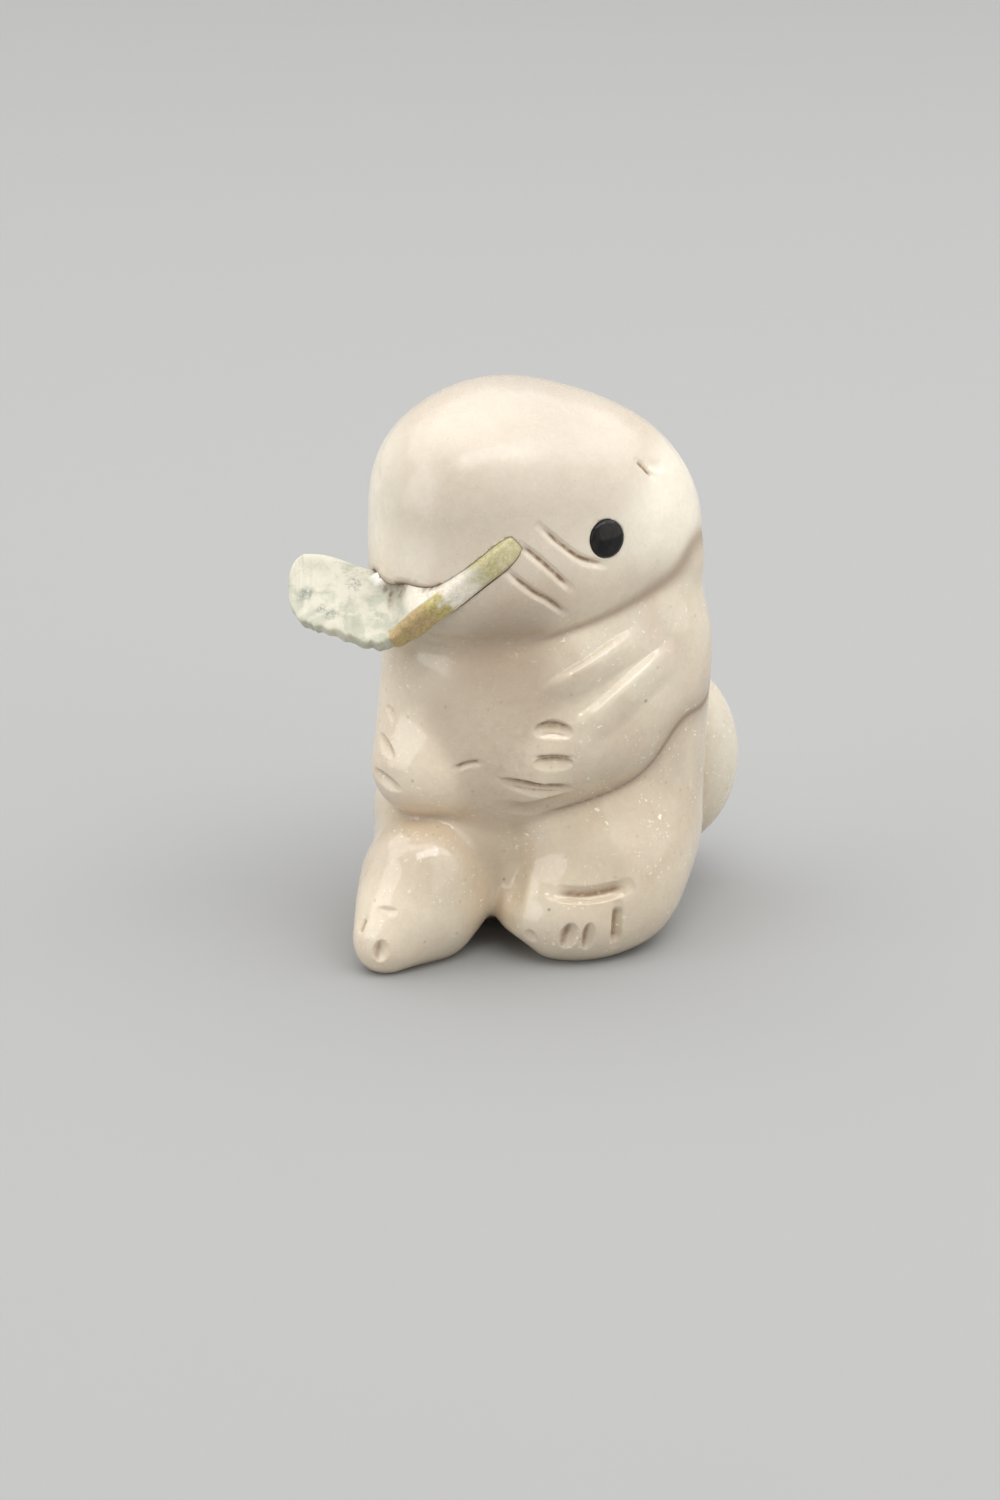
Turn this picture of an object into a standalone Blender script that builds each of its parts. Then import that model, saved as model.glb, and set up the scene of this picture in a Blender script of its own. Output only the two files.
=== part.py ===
"""Otter fetish carving: a sitting otter cut from one piece of cream stone, with two round black
inlays for eyes and a flat fish of pale green stone set in a slot at its mouth.

The otter stands on its underside at z = 0 and looks to the front and its right (-Y and -X).
The body is laid out as round forms that flow together, in units of a share of its height.
"""
from math import asin, cos, pi, radians, sin, sqrt

import bmesh
import bpy
import numpy as np
from mathutils import Matrix, Vector

# Driving sizes, in metres
FIGURE_HEIGHT = 0.0489   # underside to the top of the head
EYE_DIAMETER = 0.0032    # the round black inlay
EYE_LENGTH = 0.0024      # from its rim down to its foot in the socket
EYE_DOME = 0.0005        # how far the polished face stands above the rim
FISH_LENGTH = 0.0224     # tip to fan, along the bent near edge
FISH_WIDTH = 0.0062      # across the part held in the mouth
FAN_WIDTH = 0.0078       # across the fan outside the mouth
FISH_THICKNESS = 0.0024  # at the mouth, thinner at the fan
FAN_THICKNESS = 0.0017
FISH_PROUD = 0.0007      # how far its near edge stands out of the cheek
TIP_ROUND = 0.0015       # length over which the tip is rounded off
FAN_ROUND = 0.0040       # length over which the fan's end is rounded off
FAN_HOLLOW = 0.00035     # depth of the shallow trough along the fan's top
FRILL = 0.00022          # depth of the small notches along the fan's near edge
FRILL_COUNT = 8
FIT_GAP = 0.0003         # between each inlay and the stone around it

# Widths and depths of the cut marks, in metres
CUTS = dict(line=(0.0006, 0.00035), gouge=(0.0013, 0.0005))

# The layout's own measures
LAYOUT_HEIGHT = 48.9
UNIT = FIGURE_HEIGHT / LAYOUT_HEIGHT
HEAD_CENTRE = (0.5, -0.2)   # where the head's middle plane crosses its length, x and y
HEAD_TURN = 25.0            # degrees that the nose is turned to the otter's right
EYE_PLACE = (3.6, 37.4)     # along the head from its centre, and up
MOUTH_CORNER = (0.0, 37.6)  # x and z of the fish's tip, dropped on the skin from the front
VOXEL = 0.5                 # grid of the first skin
SKIN_TRIANGLES = 5000
SETTLE_STEP = 0.9           # share of the distance that a point moves to the skin in one round
CUT_MERGE = 0.02            # points this near the underside's plane are laid on it

# Colours of the stones, linear red, green and blue
CREAM = (0.64, 0.54, 0.44)
PALE_GREEN = (0.60, 0.60, 0.48)
JET = (0.008, 0.008, 0.009)


# The round forms of the body, in layout units: x to the otter's left, -y to the front, z up.
# An egg has a middle, three radii and a turn in degrees. A limb has two ends and their radii.
# "blend" is the width over which a form flows into those before it.
TORSO = [
    dict(kind="egg", name="back", at=(5.0, 3.0, 22.5), radii=(12.0, 8.7, 18.0), blend=0.0),
    dict(kind="egg", name="chest", at=(0.6, -0.5, 21.0), radii=(11.3, 9.0, 13.0), blend=3.0),
    dict(kind="egg", name="belly", at=(-0.8, -3.4, 18.0), radii=(7.0, 6.0, 10.0), blend=3.0),
]
ARMS = [
    dict(kind="limb", name="left shoulder", a=(11.7, 2.5, 30.5), b=(5.0, -4.0, 26.0),
         radius_a=4.6, radius_b=4.8, blend=3.0),
    dict(kind="limb", name="right shoulder", a=(-5.0, 1.5, 30.0), b=(-5.0, -3.8, 26.0),
         radius_a=4.2, radius_b=4.8, blend=3.0),
    dict(kind="limb", name="left arm", a=(10.1, 1.8, 24.9), b=(5.5, -4.6, 19.2),
         radius_a=6.6, radius_b=5.7, blend=2.5),
    dict(kind="egg", name="left paw", at=(2.2, -7.0, 18.6), radii=(4.0, 3.3, 4.4), blend=2.5),
    dict(kind="limb", name="right arm", a=(-6.3, -1.0, 25.5), b=(-7.8, -5.6, 16.4),
         radius_a=4.7, radius_b=4.5, blend=2.5),
]
LEGS = [
    dict(kind="egg", name="haunches", at=(1.9, 1.5, 9.0), radii=(14.0, 10.5, 11.5), blend=3.0),
    dict(kind="egg", name="hip", at=(8.2, 2.0, 14.5), radii=(8.1, 8.5, 10.0), blend=3.0),
    dict(kind="egg", name="left thigh", at=(7.4, -1.0, 8.7), radii=(8.5, 9.8, 8.6), blend=2.5),
    dict(kind="egg", name="left foot", at=(4.8, -7.6, 4.1), radii=(6.2, 5.0, 4.4), blend=2.5),
    dict(kind="egg", name="left heel", at=(7.7, -3.4, 4.4), radii=(6.4, 7.6, 5.0), power=2.3,
         blend=2.5),
    dict(kind="limb", name="right thigh", a=(-5.6, -1.0, 11.0), b=(-8.2, -7.3, 6.3),
         radius_a=6.0, radius_b=5.1, blend=2.5),
    dict(kind="limb", name="right foot", a=(-7.6, -8.3, 3.8), b=(-11.8, -13.6, 1.8),
         radius_a=4.3, radius_b=2.0, blend=3.0),
]
TAIL = [
    dict(kind="limb", name="tail root", a=(1.0, 7.0, 4.5), b=(9.0, 9.2, 8.5),
         radius_a=4.2, radius_b=5.0, blend=0.0),
    dict(kind="egg", name="tail lobe", at=(13.4, 10.2, 11.3), radii=(6.8, 4.6, 8.9), blend=4.0),
]
HEAD = [
    dict(kind="egg", name="skull", at=(4.0, 1.6, 36.0), radii=(13.2, 9.8, 11.4),
         turn=(0, 20, 22), blend=0.0),
    dict(kind="egg", name="snout", at=(-3.1, -2.0, 38.2), radii=(9.2, 8.6, 9.6),
         turn=(0, 0, 25), power=2.25, blend=3.5),
    dict(kind="egg", name="crown", at=(-1.1, 2.0, 39.7), radii=(9.5, 8.0, 8.5),
         turn=(0, 8, 22), blend=3.0),
    dict(kind="egg", name="jaw", at=(-1.1, -2.6, 33.0), radii=(11.2, 8.6, 6.6),
         turn=(0, 0, 22), blend=3.0),
]
ARCH = dict(kind="limb", name="arch between the feet", a=(-0.9, -12.0, -0.6), b=(-0.9, -1.5, -0.6),
            radius_a=2.6, radius_b=2.0, blend=1.5)
LIMB_CREASE = 0.7     # blend where the arms lie on the legs
TAIL_CREASE = 0.3     # blend where the tail lies on the back
NECK_CREASE = 0.6     # blend where the head sits on the shoulders


def turned(turn):
    """Rotation of a form, from degrees about x, then y, then z."""
    about_x, about_y, about_z = (radians(t) for t in turn)
    turn_x = Matrix.Rotation(about_x, 3, "X")
    turn_y = Matrix.Rotation(about_y, 3, "Y")
    turn_z = Matrix.Rotation(about_z, 3, "Z")
    return np.array(turn_z @ turn_y @ turn_x)


def egg_distance(points, form):
    """Rough distance of each point to an egg's skin, below zero inside."""
    radii = np.array(form["radii"])
    power = form.get("power", 2.0)
    local = (points - np.array(form["at"])) @ turned(form.get("turn", (0, 0, 0)))
    share = np.maximum(np.abs(local) / radii, 1e-6)
    reach = (share ** power).sum(1) ** (1 / power)
    slope = np.sqrt(((share ** (power - 1) / radii) ** 2).sum(1)) * reach ** (1 - power)
    return (reach - 1) / slope


def limb_distance(points, form):
    """Distance of each point to a limb, which is a cone with a ball at each end."""
    a, b = np.array(form["a"]), np.array(form["b"])
    radius_a, radius_b = form["radius_a"], form["radius_b"]
    along = b - a
    length = np.linalg.norm(along)
    axis = along / length
    lean = asin((radius_a - radius_b) / length)
    from_a = points - a
    run = from_a @ axis
    off = np.linalg.norm(from_a - np.outer(run, axis), axis=1)
    side = off * cos(lean) + run * sin(lean) - radius_a
    foot = run - off * sin(lean) / cos(lean)
    ball_a = np.hypot(run, off) - radius_a
    ball_b = np.hypot(run - length, off) - radius_b
    return np.where(foot < 0, ball_a, np.where(foot > length, ball_b, side))


def distance(points, form):
    return egg_distance(points, form) if form["kind"] == "egg" else limb_distance(points, form)


def joined(first, second, blend):
    """Union of two forms that flow together over the blend's width."""
    if blend <= 0:
        return np.minimum(first, second)
    near = np.maximum(blend - np.abs(first - second), 0) / blend
    return np.minimum(first, second) - near * near * blend / 4


def carved(first, second, blend):
    """The first form with the second cut away."""
    return -joined(-first, second, blend)


def gathered(points, forms, start=None):
    """Forms added one after another, each with its own blend."""
    total = start
    for form in forms:
        one = distance(points, form)
        total = one if total is None else joined(total, one, form["blend"])
    return total


def figure_distance(points):
    """The whole otter, in layout units, without its marks, sockets and slot."""
    torso = gathered(points, TORSO)
    upper = gathered(points, ARMS, torso)
    lower = gathered(points, LEGS, torso)
    body = joined(upper, lower, LIMB_CREASE)
    body = carved(body, distance(points, ARCH), ARCH["blend"])
    body = joined(body, gathered(points, TAIL), TAIL_CREASE)
    return joined(body, gathered(points, HEAD), NECK_CREASE)


def skin_normals(points, reach=0.05):
    """Outward direction of the figure's skin at each point."""
    steps = np.array([(1, -1, -1), (-1, -1, 1), (-1, 1, -1), (1, 1, 1)], float)
    rise = sum(step * figure_distance(points + step * reach)[:, None] for step in steps)
    return rise / np.linalg.norm(rise, axis=1, keepdims=True)


def settled(points, rounds=6):
    """Points moved onto the figure's skin."""
    for _ in range(rounds):
        step = skin_normals(points) * figure_distance(points)[:, None]
        points = points - step * SETTLE_STEP
    return points


def facing_axes(facing):
    """Sideways and outward directions of someone who looks at the figure from this azimuth."""
    turn = radians(facing)
    return np.array((cos(turn), sin(turn), 0.0)), np.array((sin(turn), -cos(turn), 0.0))


def dropped(places, facing, centre=(0.0, 0.0), start=30.0, rounds=60):
    """Skin points under flat places (sideways, height), seen from the azimuth 'facing'."""
    sideways, outward = facing_axes(facing)
    middle = np.array((centre[0], centre[1], 0.0))
    points = np.array([middle + sideways * u + outward * start + (0, 0, z) for u, z in places])
    for _ in range(rounds):
        points = points - outward * figure_distance(points)[:, None] * SETTLE_STEP
    return points


def new_object(name, mesh, material=None):
    item = bpy.data.objects.new(name, mesh)
    bpy.context.scene.collection.objects.link(item)
    if material:
        mesh.materials.append(material)
    return item


def stone(name, colour, roughness):
    material = bpy.data.materials.new(name)
    material.use_nodes = True
    shader = material.node_tree.nodes["Principled BSDF"]
    shader.inputs["Base Color"].default_value = (*colour, 1.0)
    shader.inputs["Roughness"].default_value = roughness
    shader.inputs["Metallic"].default_value = 0.0
    return material


def unit_ball():
    work = bmesh.new()
    bmesh.ops.create_icosphere(work, subdivisions=4, radius=1.0)
    mesh = bpy.data.meshes.new("unit ball")
    work.to_mesh(mesh)
    work.free()
    return mesh


def add_ball(work, ball, at, radii, turn=(0, 0, 0)):
    copy = ball.copy()
    copy.transform(Matrix.Translation(at) @ Matrix(turned(turn).tolist()).to_4x4()
                   @ Matrix.Diagonal((*radii, 1.0)))
    work.from_mesh(copy)
    bpy.data.meshes.remove(copy)


def rough_figure():
    """Plain balls in the places of the eggs and strung along the limbs, in layout units."""
    ball = unit_ball()
    work = bmesh.new()
    for form in TORSO + ARMS + LEGS + TAIL + HEAD:
        if form["kind"] == "egg":
            add_ball(work, ball, form["at"], form["radii"], form.get("turn", (0, 0, 0)))
            continue
        a, b = Vector(form["a"]), Vector(form["b"])
        for share in np.linspace(0.0, 1.0, 7):
            radius = form["radius_a"] * (1 - share) + form["radius_b"] * share
            add_ball(work, ball, a.lerp(b, share), (radius, radius, radius))
    mesh = bpy.data.meshes.new("rough figure")
    work.to_mesh(mesh)
    work.free()
    return new_object("otter_body", mesh)


def settle_mesh(mesh):
    points = np.empty(len(mesh.vertices) * 3)
    mesh.vertices.foreach_get("co", points)
    mesh.vertices.foreach_set("co", settled(points.reshape(-1, 3)).ravel())
    mesh.update()


def bake_modifiers(item):
    """Replace an object's mesh by what its modifiers make of it."""
    graph = bpy.context.evaluated_depsgraph_get()
    mesh = bpy.data.meshes.new_from_object(item.evaluated_get(graph))
    item.modifiers.clear()
    item.data = mesh


def remesh(item):
    grid = item.modifiers.new("Skin grid", "REMESH")
    grid.mode = "VOXEL"
    grid.voxel_size = VOXEL
    bake_modifiers(item)


def thin_out(item, triangles):
    """Fewer faces, the most where the skin bends most."""
    item.data.calc_loop_triangles()
    thin = item.modifiers.new("Fewer faces", "DECIMATE")
    thin.ratio = triangles / len(item.data.loop_triangles)
    thin.use_collapse_triangulate = True
    bake_modifiers(item)


def cut_flat(mesh, height, scale):
    """Cut everything below a height away, close the underside and bring the mesh to real size."""
    work = bmesh.new()
    work.from_mesh(mesh)
    geometry = work.verts[:] + work.edges[:] + work.faces[:]
    bmesh.ops.bisect_plane(work, geom=geometry, dist=CUT_MERGE, plane_co=(0, 0, height),
                           plane_no=(0, 0, 1), clear_inner=True)
    for vert in work.verts:
        vert.co.z = max(vert.co.z, height)
    rim = [edge for edge in work.edges if edge.is_boundary]
    bmesh.ops.holes_fill(work, edges=rim, sides=0)
    bmesh.ops.triangulate(work, faces=work.faces[:])
    bmesh.ops.scale(work, vec=(scale, scale, scale), verts=work.verts[:])
    bmesh.ops.recalc_face_normals(work, faces=work.faces[:])
    work.to_mesh(mesh)
    work.free()


def make_body(material):
    body = rough_figure()
    for _ in range(2):
        remesh(body)
        settle_mesh(body.data)
    thin_out(body, SKIN_TRIANGLES)
    settle_mesh(body.data)
    cut_flat(body.data, 0.0, UNIT)
    body.data.materials.append(material)
    body.data.shade_smooth()
    return body


def loft(rings, name, material=None):
    """Closed solid through rings of equal size, its ends drawn in to a point each."""
    work = bmesh.new()
    rows = [[work.verts.new(point) for point in ring] for ring in rings]
    for row, after in zip(rows, rows[1:]):
        for i in range(len(row)):
            j = (i + 1) % len(row)
            work.faces.new((row[i], row[j], after[j], after[i]))
    for row in (rows[0], rows[-1]):
        middle = sum((vert.co for vert in row), Vector()) / len(row)
        pole = work.verts.new(middle)
        for i in range(len(row)):
            work.faces.new((row[i], row[(i + 1) % len(row)], pole))
    bmesh.ops.recalc_face_normals(work, faces=work.faces[:])
    mesh = bpy.data.meshes.new(name)
    work.to_mesh(mesh)
    work.free()
    mesh.shade_smooth()
    return new_object(name, mesh, material)


# The fish's near edge runs smoothly through these points, from its tip at the mouth corner to the
# end of its fan. They are shares of the fish's length, counted from the mouth corner.
FISH_BEND = [(0.0, 0.0, 0.0), (-0.150, -0.032, -0.112), (-0.320, -0.050, -0.249),
             (-0.500, -0.058, -0.358), (-0.695, 0.0, -0.322), (-0.846, 0.09, -0.325)]
FISH_TILT = (4.0, 34.0)      # degrees that its top leans to the front, at the tip and at the fan
TILT_SPAN = (0.15, 0.65)     # shares of the length between which it leans over
FAN_START = 0.5              # share of the length where it widens into the fan
FAN_EASE = 0.06              # share of the length over which it does
END_THICKNESS = 0.35         # thickness left at both ends, as a share
EDGE_POWER = 0.4             # 1 gives oval sections, less gives squarer ones


def ease(low, high, value):
    """Smooth step from 0 at low to 1 at high."""
    share = min(max((value - low) / (high - low), 0.0), 1.0)
    return share * share * (3 - 2 * share)


def fish_edge(share, corner):
    """Point of the near edge, on the smooth curve through the bend's points."""
    spans = len(FISH_BEND) - 1
    span = min(max(int(share * spans), 0), spans - 1)
    start, end = Vector(FISH_BEND[span]), Vector(FISH_BEND[span + 1])
    before = Vector(FISH_BEND[span - 1]) if span > 0 else 2 * start - end
    after = Vector(FISH_BEND[span + 2]) if span + 2 <= spans else 2 * end - start
    t = share * spans - span
    leave, arrive = (end - before) / 2, (after - start) / 2
    bend = (start * (1 + t * t * (2 * t - 3)) + end * t * t * (3 - 2 * t)
            + leave * t * (1 - t) ** 2 - arrive * t * t * (1 - t))
    return corner + bend * FISH_LENGTH


def fish_rings(corner, grow, stations, sides):
    """Rings of the fish, or of its slot when it grows by the clearance."""
    rings = []
    for i in range(stations + 1):
        end = 0.5 - 0.5 * cos(pi * (i + 0.5) / (stations + 1))
        share = -grow / FISH_LENGTH + end * (1 + 2 * grow / FISH_LENGTH)
        at_tip = min((share * FISH_LENGTH + grow) / (TIP_ROUND + grow), 1.0)
        at_fan = min(((1 - share) * FISH_LENGTH + grow) / (FAN_ROUND + grow), 1.0)
        round_off = sqrt(1 - (1 - at_tip) ** 2) * (1 - (1 - at_fan) ** 3) ** (1 / 3)
        fan = ease(FAN_START - FAN_EASE, FAN_START + FAN_EASE, share)
        half_width = (FISH_WIDTH * (1 - fan) + FAN_WIDTH * fan) / 2
        half_thick = (FISH_THICKNESS * (1 - fan) + FAN_THICKNESS * fan) / 2
        lean = ease(*TILT_SPAN, share)
        tilt = radians(FISH_TILT[0] * (1 - lean) + FISH_TILT[1] * lean)
        across = Vector((0.0, cos(tilt), sin(tilt)))
        ahead = fish_edge(share + 0.01, corner) - fish_edge(share - 0.01, corner)
        top = across.cross(ahead).normalized()
        if top.z < 0:
            top = -top
        frill = FRILL * fan * (0.5 - 0.5 * cos(2 * pi * FRILL_COUNT * share)) if grow == 0 else 0.0
        hollow = FAN_HOLLOW * fan * round_off if grow == 0 else 0.0
        middle = fish_edge(share, corner) + across * half_width
        ring = []
        for k in range(sides):
            turn = 2 * pi * (k + 0.5) / sides
            side = abs(cos(turn)) ** EDGE_POWER * (1 if cos(turn) > 0 else -1)
            rise = abs(sin(turn)) ** EDGE_POWER * (1 if sin(turn) > 0 else -1)
            reach = (half_width + grow - (frill if side < 0 else 0.0)) * round_off
            thick = (half_thick + grow) * (END_THICKNESS + (1 - END_THICKNESS) * round_off)
            dip = hollow * (1 - side * side) if rise > 0 else 0.0
            ring.append(middle + across * side * reach + top * (rise * thick - dip))
        rings.append(ring)
    return rings


def mouth_corner():
    """The mouth corner on the cheek, in metres, with the fish a little proud of the skin."""
    skin = dropped([MOUTH_CORNER], 0.0)[0] * UNIT
    return Vector(skin) + Vector((0.0, -FISH_PROUD, 0.0))


def make_fish(material):
    return loft(fish_rings(mouth_corner(), 0.0, 44, 12), "fish", material)


def make_slot():
    return loft(fish_rings(mouth_corner(), FIT_GAP, 24, 12), "mouth slot cutter")


def side_of_head(side):
    """Azimuth that faces the head's left side (1) or its right side (-1)."""
    return HEAD_TURN if side > 0 else HEAD_TURN + 180.0


def eye_frame(side):
    """Rim centre and outward axis of an eye, in metres."""
    place = (EYE_PLACE[0] * side, EYE_PLACE[1])
    point = dropped([place], side_of_head(side), HEAD_CENTRE)
    return Vector(point[0] * UNIT), Vector(skin_normals(point, 1.0)[0])


def turned_solid(profile, centre, axis, name, material=None, sides=24):
    """Solid turned about an axis, from (radius, height) points between its two poles."""
    first = axis.orthogonal().normalized()
    second = axis.cross(first)
    rings = []
    for radius, height in profile:
        ring = []
        for k in range(sides):
            turn = 2 * pi * k / sides
            ring.append(centre + axis * height + (first * cos(turn) + second * sin(turn)) * radius)
        rings.append(ring)
    return loft(rings, name, material)


def make_eye(side, name, material):
    centre, axis = eye_frame(side)
    radius = EYE_DIAMETER / 2
    dome = [(radius * cos(pi / 2 * i / 4), EYE_DOME * sin(pi / 2 * i / 4)) for i in range(4)]
    profile = [(radius, -EYE_LENGTH)] + dome
    return turned_solid(profile, centre, axis, name, material)


def make_socket(side, name):
    centre, axis = eye_frame(side)
    radius = EYE_DIAMETER / 2 + FIT_GAP
    profile = [(radius, -EYE_LENGTH - FIT_GAP), (radius, EYE_LENGTH)]
    return turned_solid(profile, centre, axis, name)


# Cut marks. Each runs from start to end, (sideways, height) in layout units as seen from the
# azimuth "facing", bowed up by "bow". Head marks are laid out along the head and mirrored.
FRONT_MARKS = [
    dict(facing=0, start=(1.7, 21.7), end=(5.3, 21.3), bow=0.5, cut="gouge"),
    dict(facing=0, start=(1.5, 19.0), end=(5.3, 18.8), bow=0.2, cut="gouge"),
    dict(facing=0, start=(-1.0, 16.7), end=(5.3, 15.8), bow=0.1, cut="gouge"),
    dict(facing=-45, start=(-4.9, 20.9), end=(-1.4, 20.1), bow=0.2, cut="gouge"),
    dict(facing=-45, start=(-4.4, 19.2), end=(-0.4, 17.8), bow=0.2, cut="gouge"),
    dict(facing=-45, start=(-4.0, 16.6), end=(-0.2, 15.0), bow=0.0, cut="gouge"),
    dict(facing=15, start=(0.3, 6.5), end=(6.6, 6.9), bow=0.0, cut="gouge"),
    dict(facing=15, start=(1.5, 4.5), end=(1.0, 2.4), bow=0.0, cut="gouge"),
    dict(facing=15, start=(3.1, 4.3), end=(2.9, 2.1), bow=0.0, cut="gouge"),
    dict(facing=15, start=(5.4, 5.4), end=(5.4, 2.6), bow=0.0, cut="gouge"),
    dict(facing=-25, start=(-4.7, 4.6), end=(-4.3, 2.9), bow=0.0, cut="gouge"),
    dict(facing=0, start=(-5.0, 17.8), end=(-2.9, 18.6), bow=0.0, cut="line"),
]
HEAD_MARKS = [
    dict(start=(-2.6, 39.3), end=(3.1, 35.2), bow=-0.4, cut="line"),
    dict(start=(-4.2, 37.8), end=(-0.4, 33.9), bow=0.0, cut="line"),
    dict(start=(-5.6, 35.9), end=(-0.8, 31.8), bow=-0.2, cut="line"),
    dict(start=(7.8, 42.8), end=(8.9, 41.4), bow=0.0, cut="line"),
]
OVERRUN = 0.04       # share of a mark's length by which its cutter passes each end
STEEPNESS = 1.25     # how soon a mark reaches its full depth from its ends


def groove_rings(start, end, bow, cut, facing, centre, stations=8, sides=8):
    """A round bar that dips into the skin along a mark and comes out at both its ends."""
    width, depth = CUTS[cut]
    radius = (width * width / 4 + depth * depth) / (2 * depth)
    first, last = np.array(start), np.array(end)
    run = (last - first) / np.linalg.norm(last - first)
    up = np.array((-run[1], run[0])) if run[0] > 0 else np.array((run[1], -run[0]))
    shares = np.linspace(-OVERRUN, 1 + OVERRUN, stations)
    places = [first + (last - first) * s + up * bow * 4 * s * (1 - s) for s in shares]
    skin = dropped(places, facing, centre)
    outward = skin_normals(skin, 0.4)
    rings = []
    for i, share in enumerate(shares):
        dip = depth * (1 - (2 * share - 1) ** 2) * STEEPNESS
        middle = Vector(skin[i] * UNIT) + Vector(outward[i]) * (radius - min(dip, depth))
        before, after = skin[max(i - 1, 0)], skin[min(i + 1, stations - 1)]
        ahead = Vector(after - before).normalized()
        normal = Vector(outward[i])
        side = ahead.cross(normal).normalized()
        normal = side.cross(ahead)
        ring = []
        for k in range(sides):
            turn = 2 * pi * k / sides
            ring.append(middle + (side * cos(turn) + normal * sin(turn)) * radius)
        rings.append(ring)
    return rings


def make_grooves():
    """All the marks' cutters."""
    cutters = []
    for mark in FRONT_MARKS:
        rings = groove_rings(mark["start"], mark["end"], mark["bow"], mark["cut"],
                             mark["facing"], (0.0, 0.0))
        cutters.append(loft(rings, "groove cutter"))
    for side in (1, -1):
        for mark in HEAD_MARKS:
            start = (mark["start"][0] * side, mark["start"][1])
            end = (mark["end"][0] * side, mark["end"][1])
            rings = groove_rings(start, end, mark["bow"], mark["cut"],
                                 side_of_head(side), HEAD_CENTRE)
            cutters.append(loft(rings, "groove cutter"))
    return cutters


def cut_away(body, cutter):
    cutter.hide_render = True
    cutter.display_type = "WIRE"
    step = body.modifiers.new("Cut " + cutter.name, "BOOLEAN")
    step.operation = "DIFFERENCE"
    step.solver = "EXACT"
    step.object = cutter


def centre_on_box(solids, others):
    """Shift everything so that the middle of the solids' common box is at x = 0 and y = 0."""
    corners = [vert.co for item in solids for vert in item.data.vertices]
    middle = [(min(co[i] for co in corners) + max(co[i] for co in corners)) / 2 for i in (0, 1)]
    for item in solids + others:
        item.data.transform(Matrix.Translation((-middle[0], -middle[1], 0.0)))


def main():
    for item in list(bpy.data.objects):
        bpy.data.objects.remove(item)
    cream = stone("Cream stone", CREAM, 0.28)
    green = stone("Pale green stone", PALE_GREEN, 0.5)
    jet = stone("Black inlay", JET, 0.12)
    body = make_body(cream)
    inlays = [make_fish(green), make_eye(1, "eye_left", jet), make_eye(-1, "eye_right", jet)]
    cutters = [make_slot(), make_socket(1, "left socket cutter"),
               make_socket(-1, "right socket cutter")] + make_grooves()
    centre_on_box([body] + inlays, cutters)
    for cutter in cutters:
        cut_away(body, cutter)


main()
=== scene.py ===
# Otter fetish carving: the finished look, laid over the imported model.
# Shapes are worked out in millimetres: x to the otter's left, -y to the front, z up.
from math import asin, cos, pi, radians, sin, sqrt

import bmesh
import bpy
import numpy as np
from mathutils import Matrix, Vector
from mathutils import noise as handRough
from mathutils.bvhtree import BVHTree
from numpy.linalg import norm


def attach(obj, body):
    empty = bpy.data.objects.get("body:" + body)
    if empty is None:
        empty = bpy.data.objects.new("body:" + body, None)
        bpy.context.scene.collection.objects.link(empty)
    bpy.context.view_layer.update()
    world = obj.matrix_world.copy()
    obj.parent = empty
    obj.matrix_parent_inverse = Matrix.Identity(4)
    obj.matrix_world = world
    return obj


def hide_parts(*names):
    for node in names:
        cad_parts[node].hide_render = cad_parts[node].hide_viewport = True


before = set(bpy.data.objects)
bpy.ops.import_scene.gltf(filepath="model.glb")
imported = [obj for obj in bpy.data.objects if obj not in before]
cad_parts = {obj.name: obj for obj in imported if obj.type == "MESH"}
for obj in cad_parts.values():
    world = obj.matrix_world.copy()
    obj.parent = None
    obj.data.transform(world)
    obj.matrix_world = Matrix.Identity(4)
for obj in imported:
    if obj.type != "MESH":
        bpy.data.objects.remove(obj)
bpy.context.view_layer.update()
scene = bpy.context.scene
print("frame loaded")

# the carving's own millimetres to the frame's metres
layout = dict(scale=0.001, shift=(-0.000561, 0.000218, 0))

# the round forms that the body is made of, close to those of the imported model
torsoForms = [
    dict(at=(5, 3, 22.5), radii=(11.7, 8.7, 18), blend=0),  # back
    dict(at=(0.6, -0.5, 21), radii=(11.3, 9, 13), blend=3),  # chest
    dict(at=(-0.8, -3.4, 18), radii=(7, 6, 10), blend=3),  # belly
    dict(at=(-1.5, -4.3, 22.3), radii=(7.5, 6.3, 10.5), blend=3),  # breast
]
armForms = [
    dict(a=(12.1, 1.8, 33.1), b=(5, -4, 26), ends=(4.2, 4.8), blend=3),  # left shoulder
    dict(a=(-5, 1.5, 30), b=(-5, -3.8, 26), ends=(4.2, 4.8), blend=3),  # right shoulder
    dict(a=(10.5, 1.2, 25.4), b=(5.5, -4.6, 19.2), ends=(6.3, 5.8), blend=2.5),  # left arm
    dict(a=(10.9, 0.2, 22), b=(8.2, -3.2, 19.6), ends=(5.4, 4.9), blend=2),  # left elbow
    dict(at=(2.2, -7, 18.6), radii=(4, 3.3, 4.4), blend=2.5),  # left paw
    dict(a=(-6, -1, 25.5), b=(-7.8, -5.6, 16.4), ends=(4.7, 4.5), blend=2.5),  # right arm
]
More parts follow.
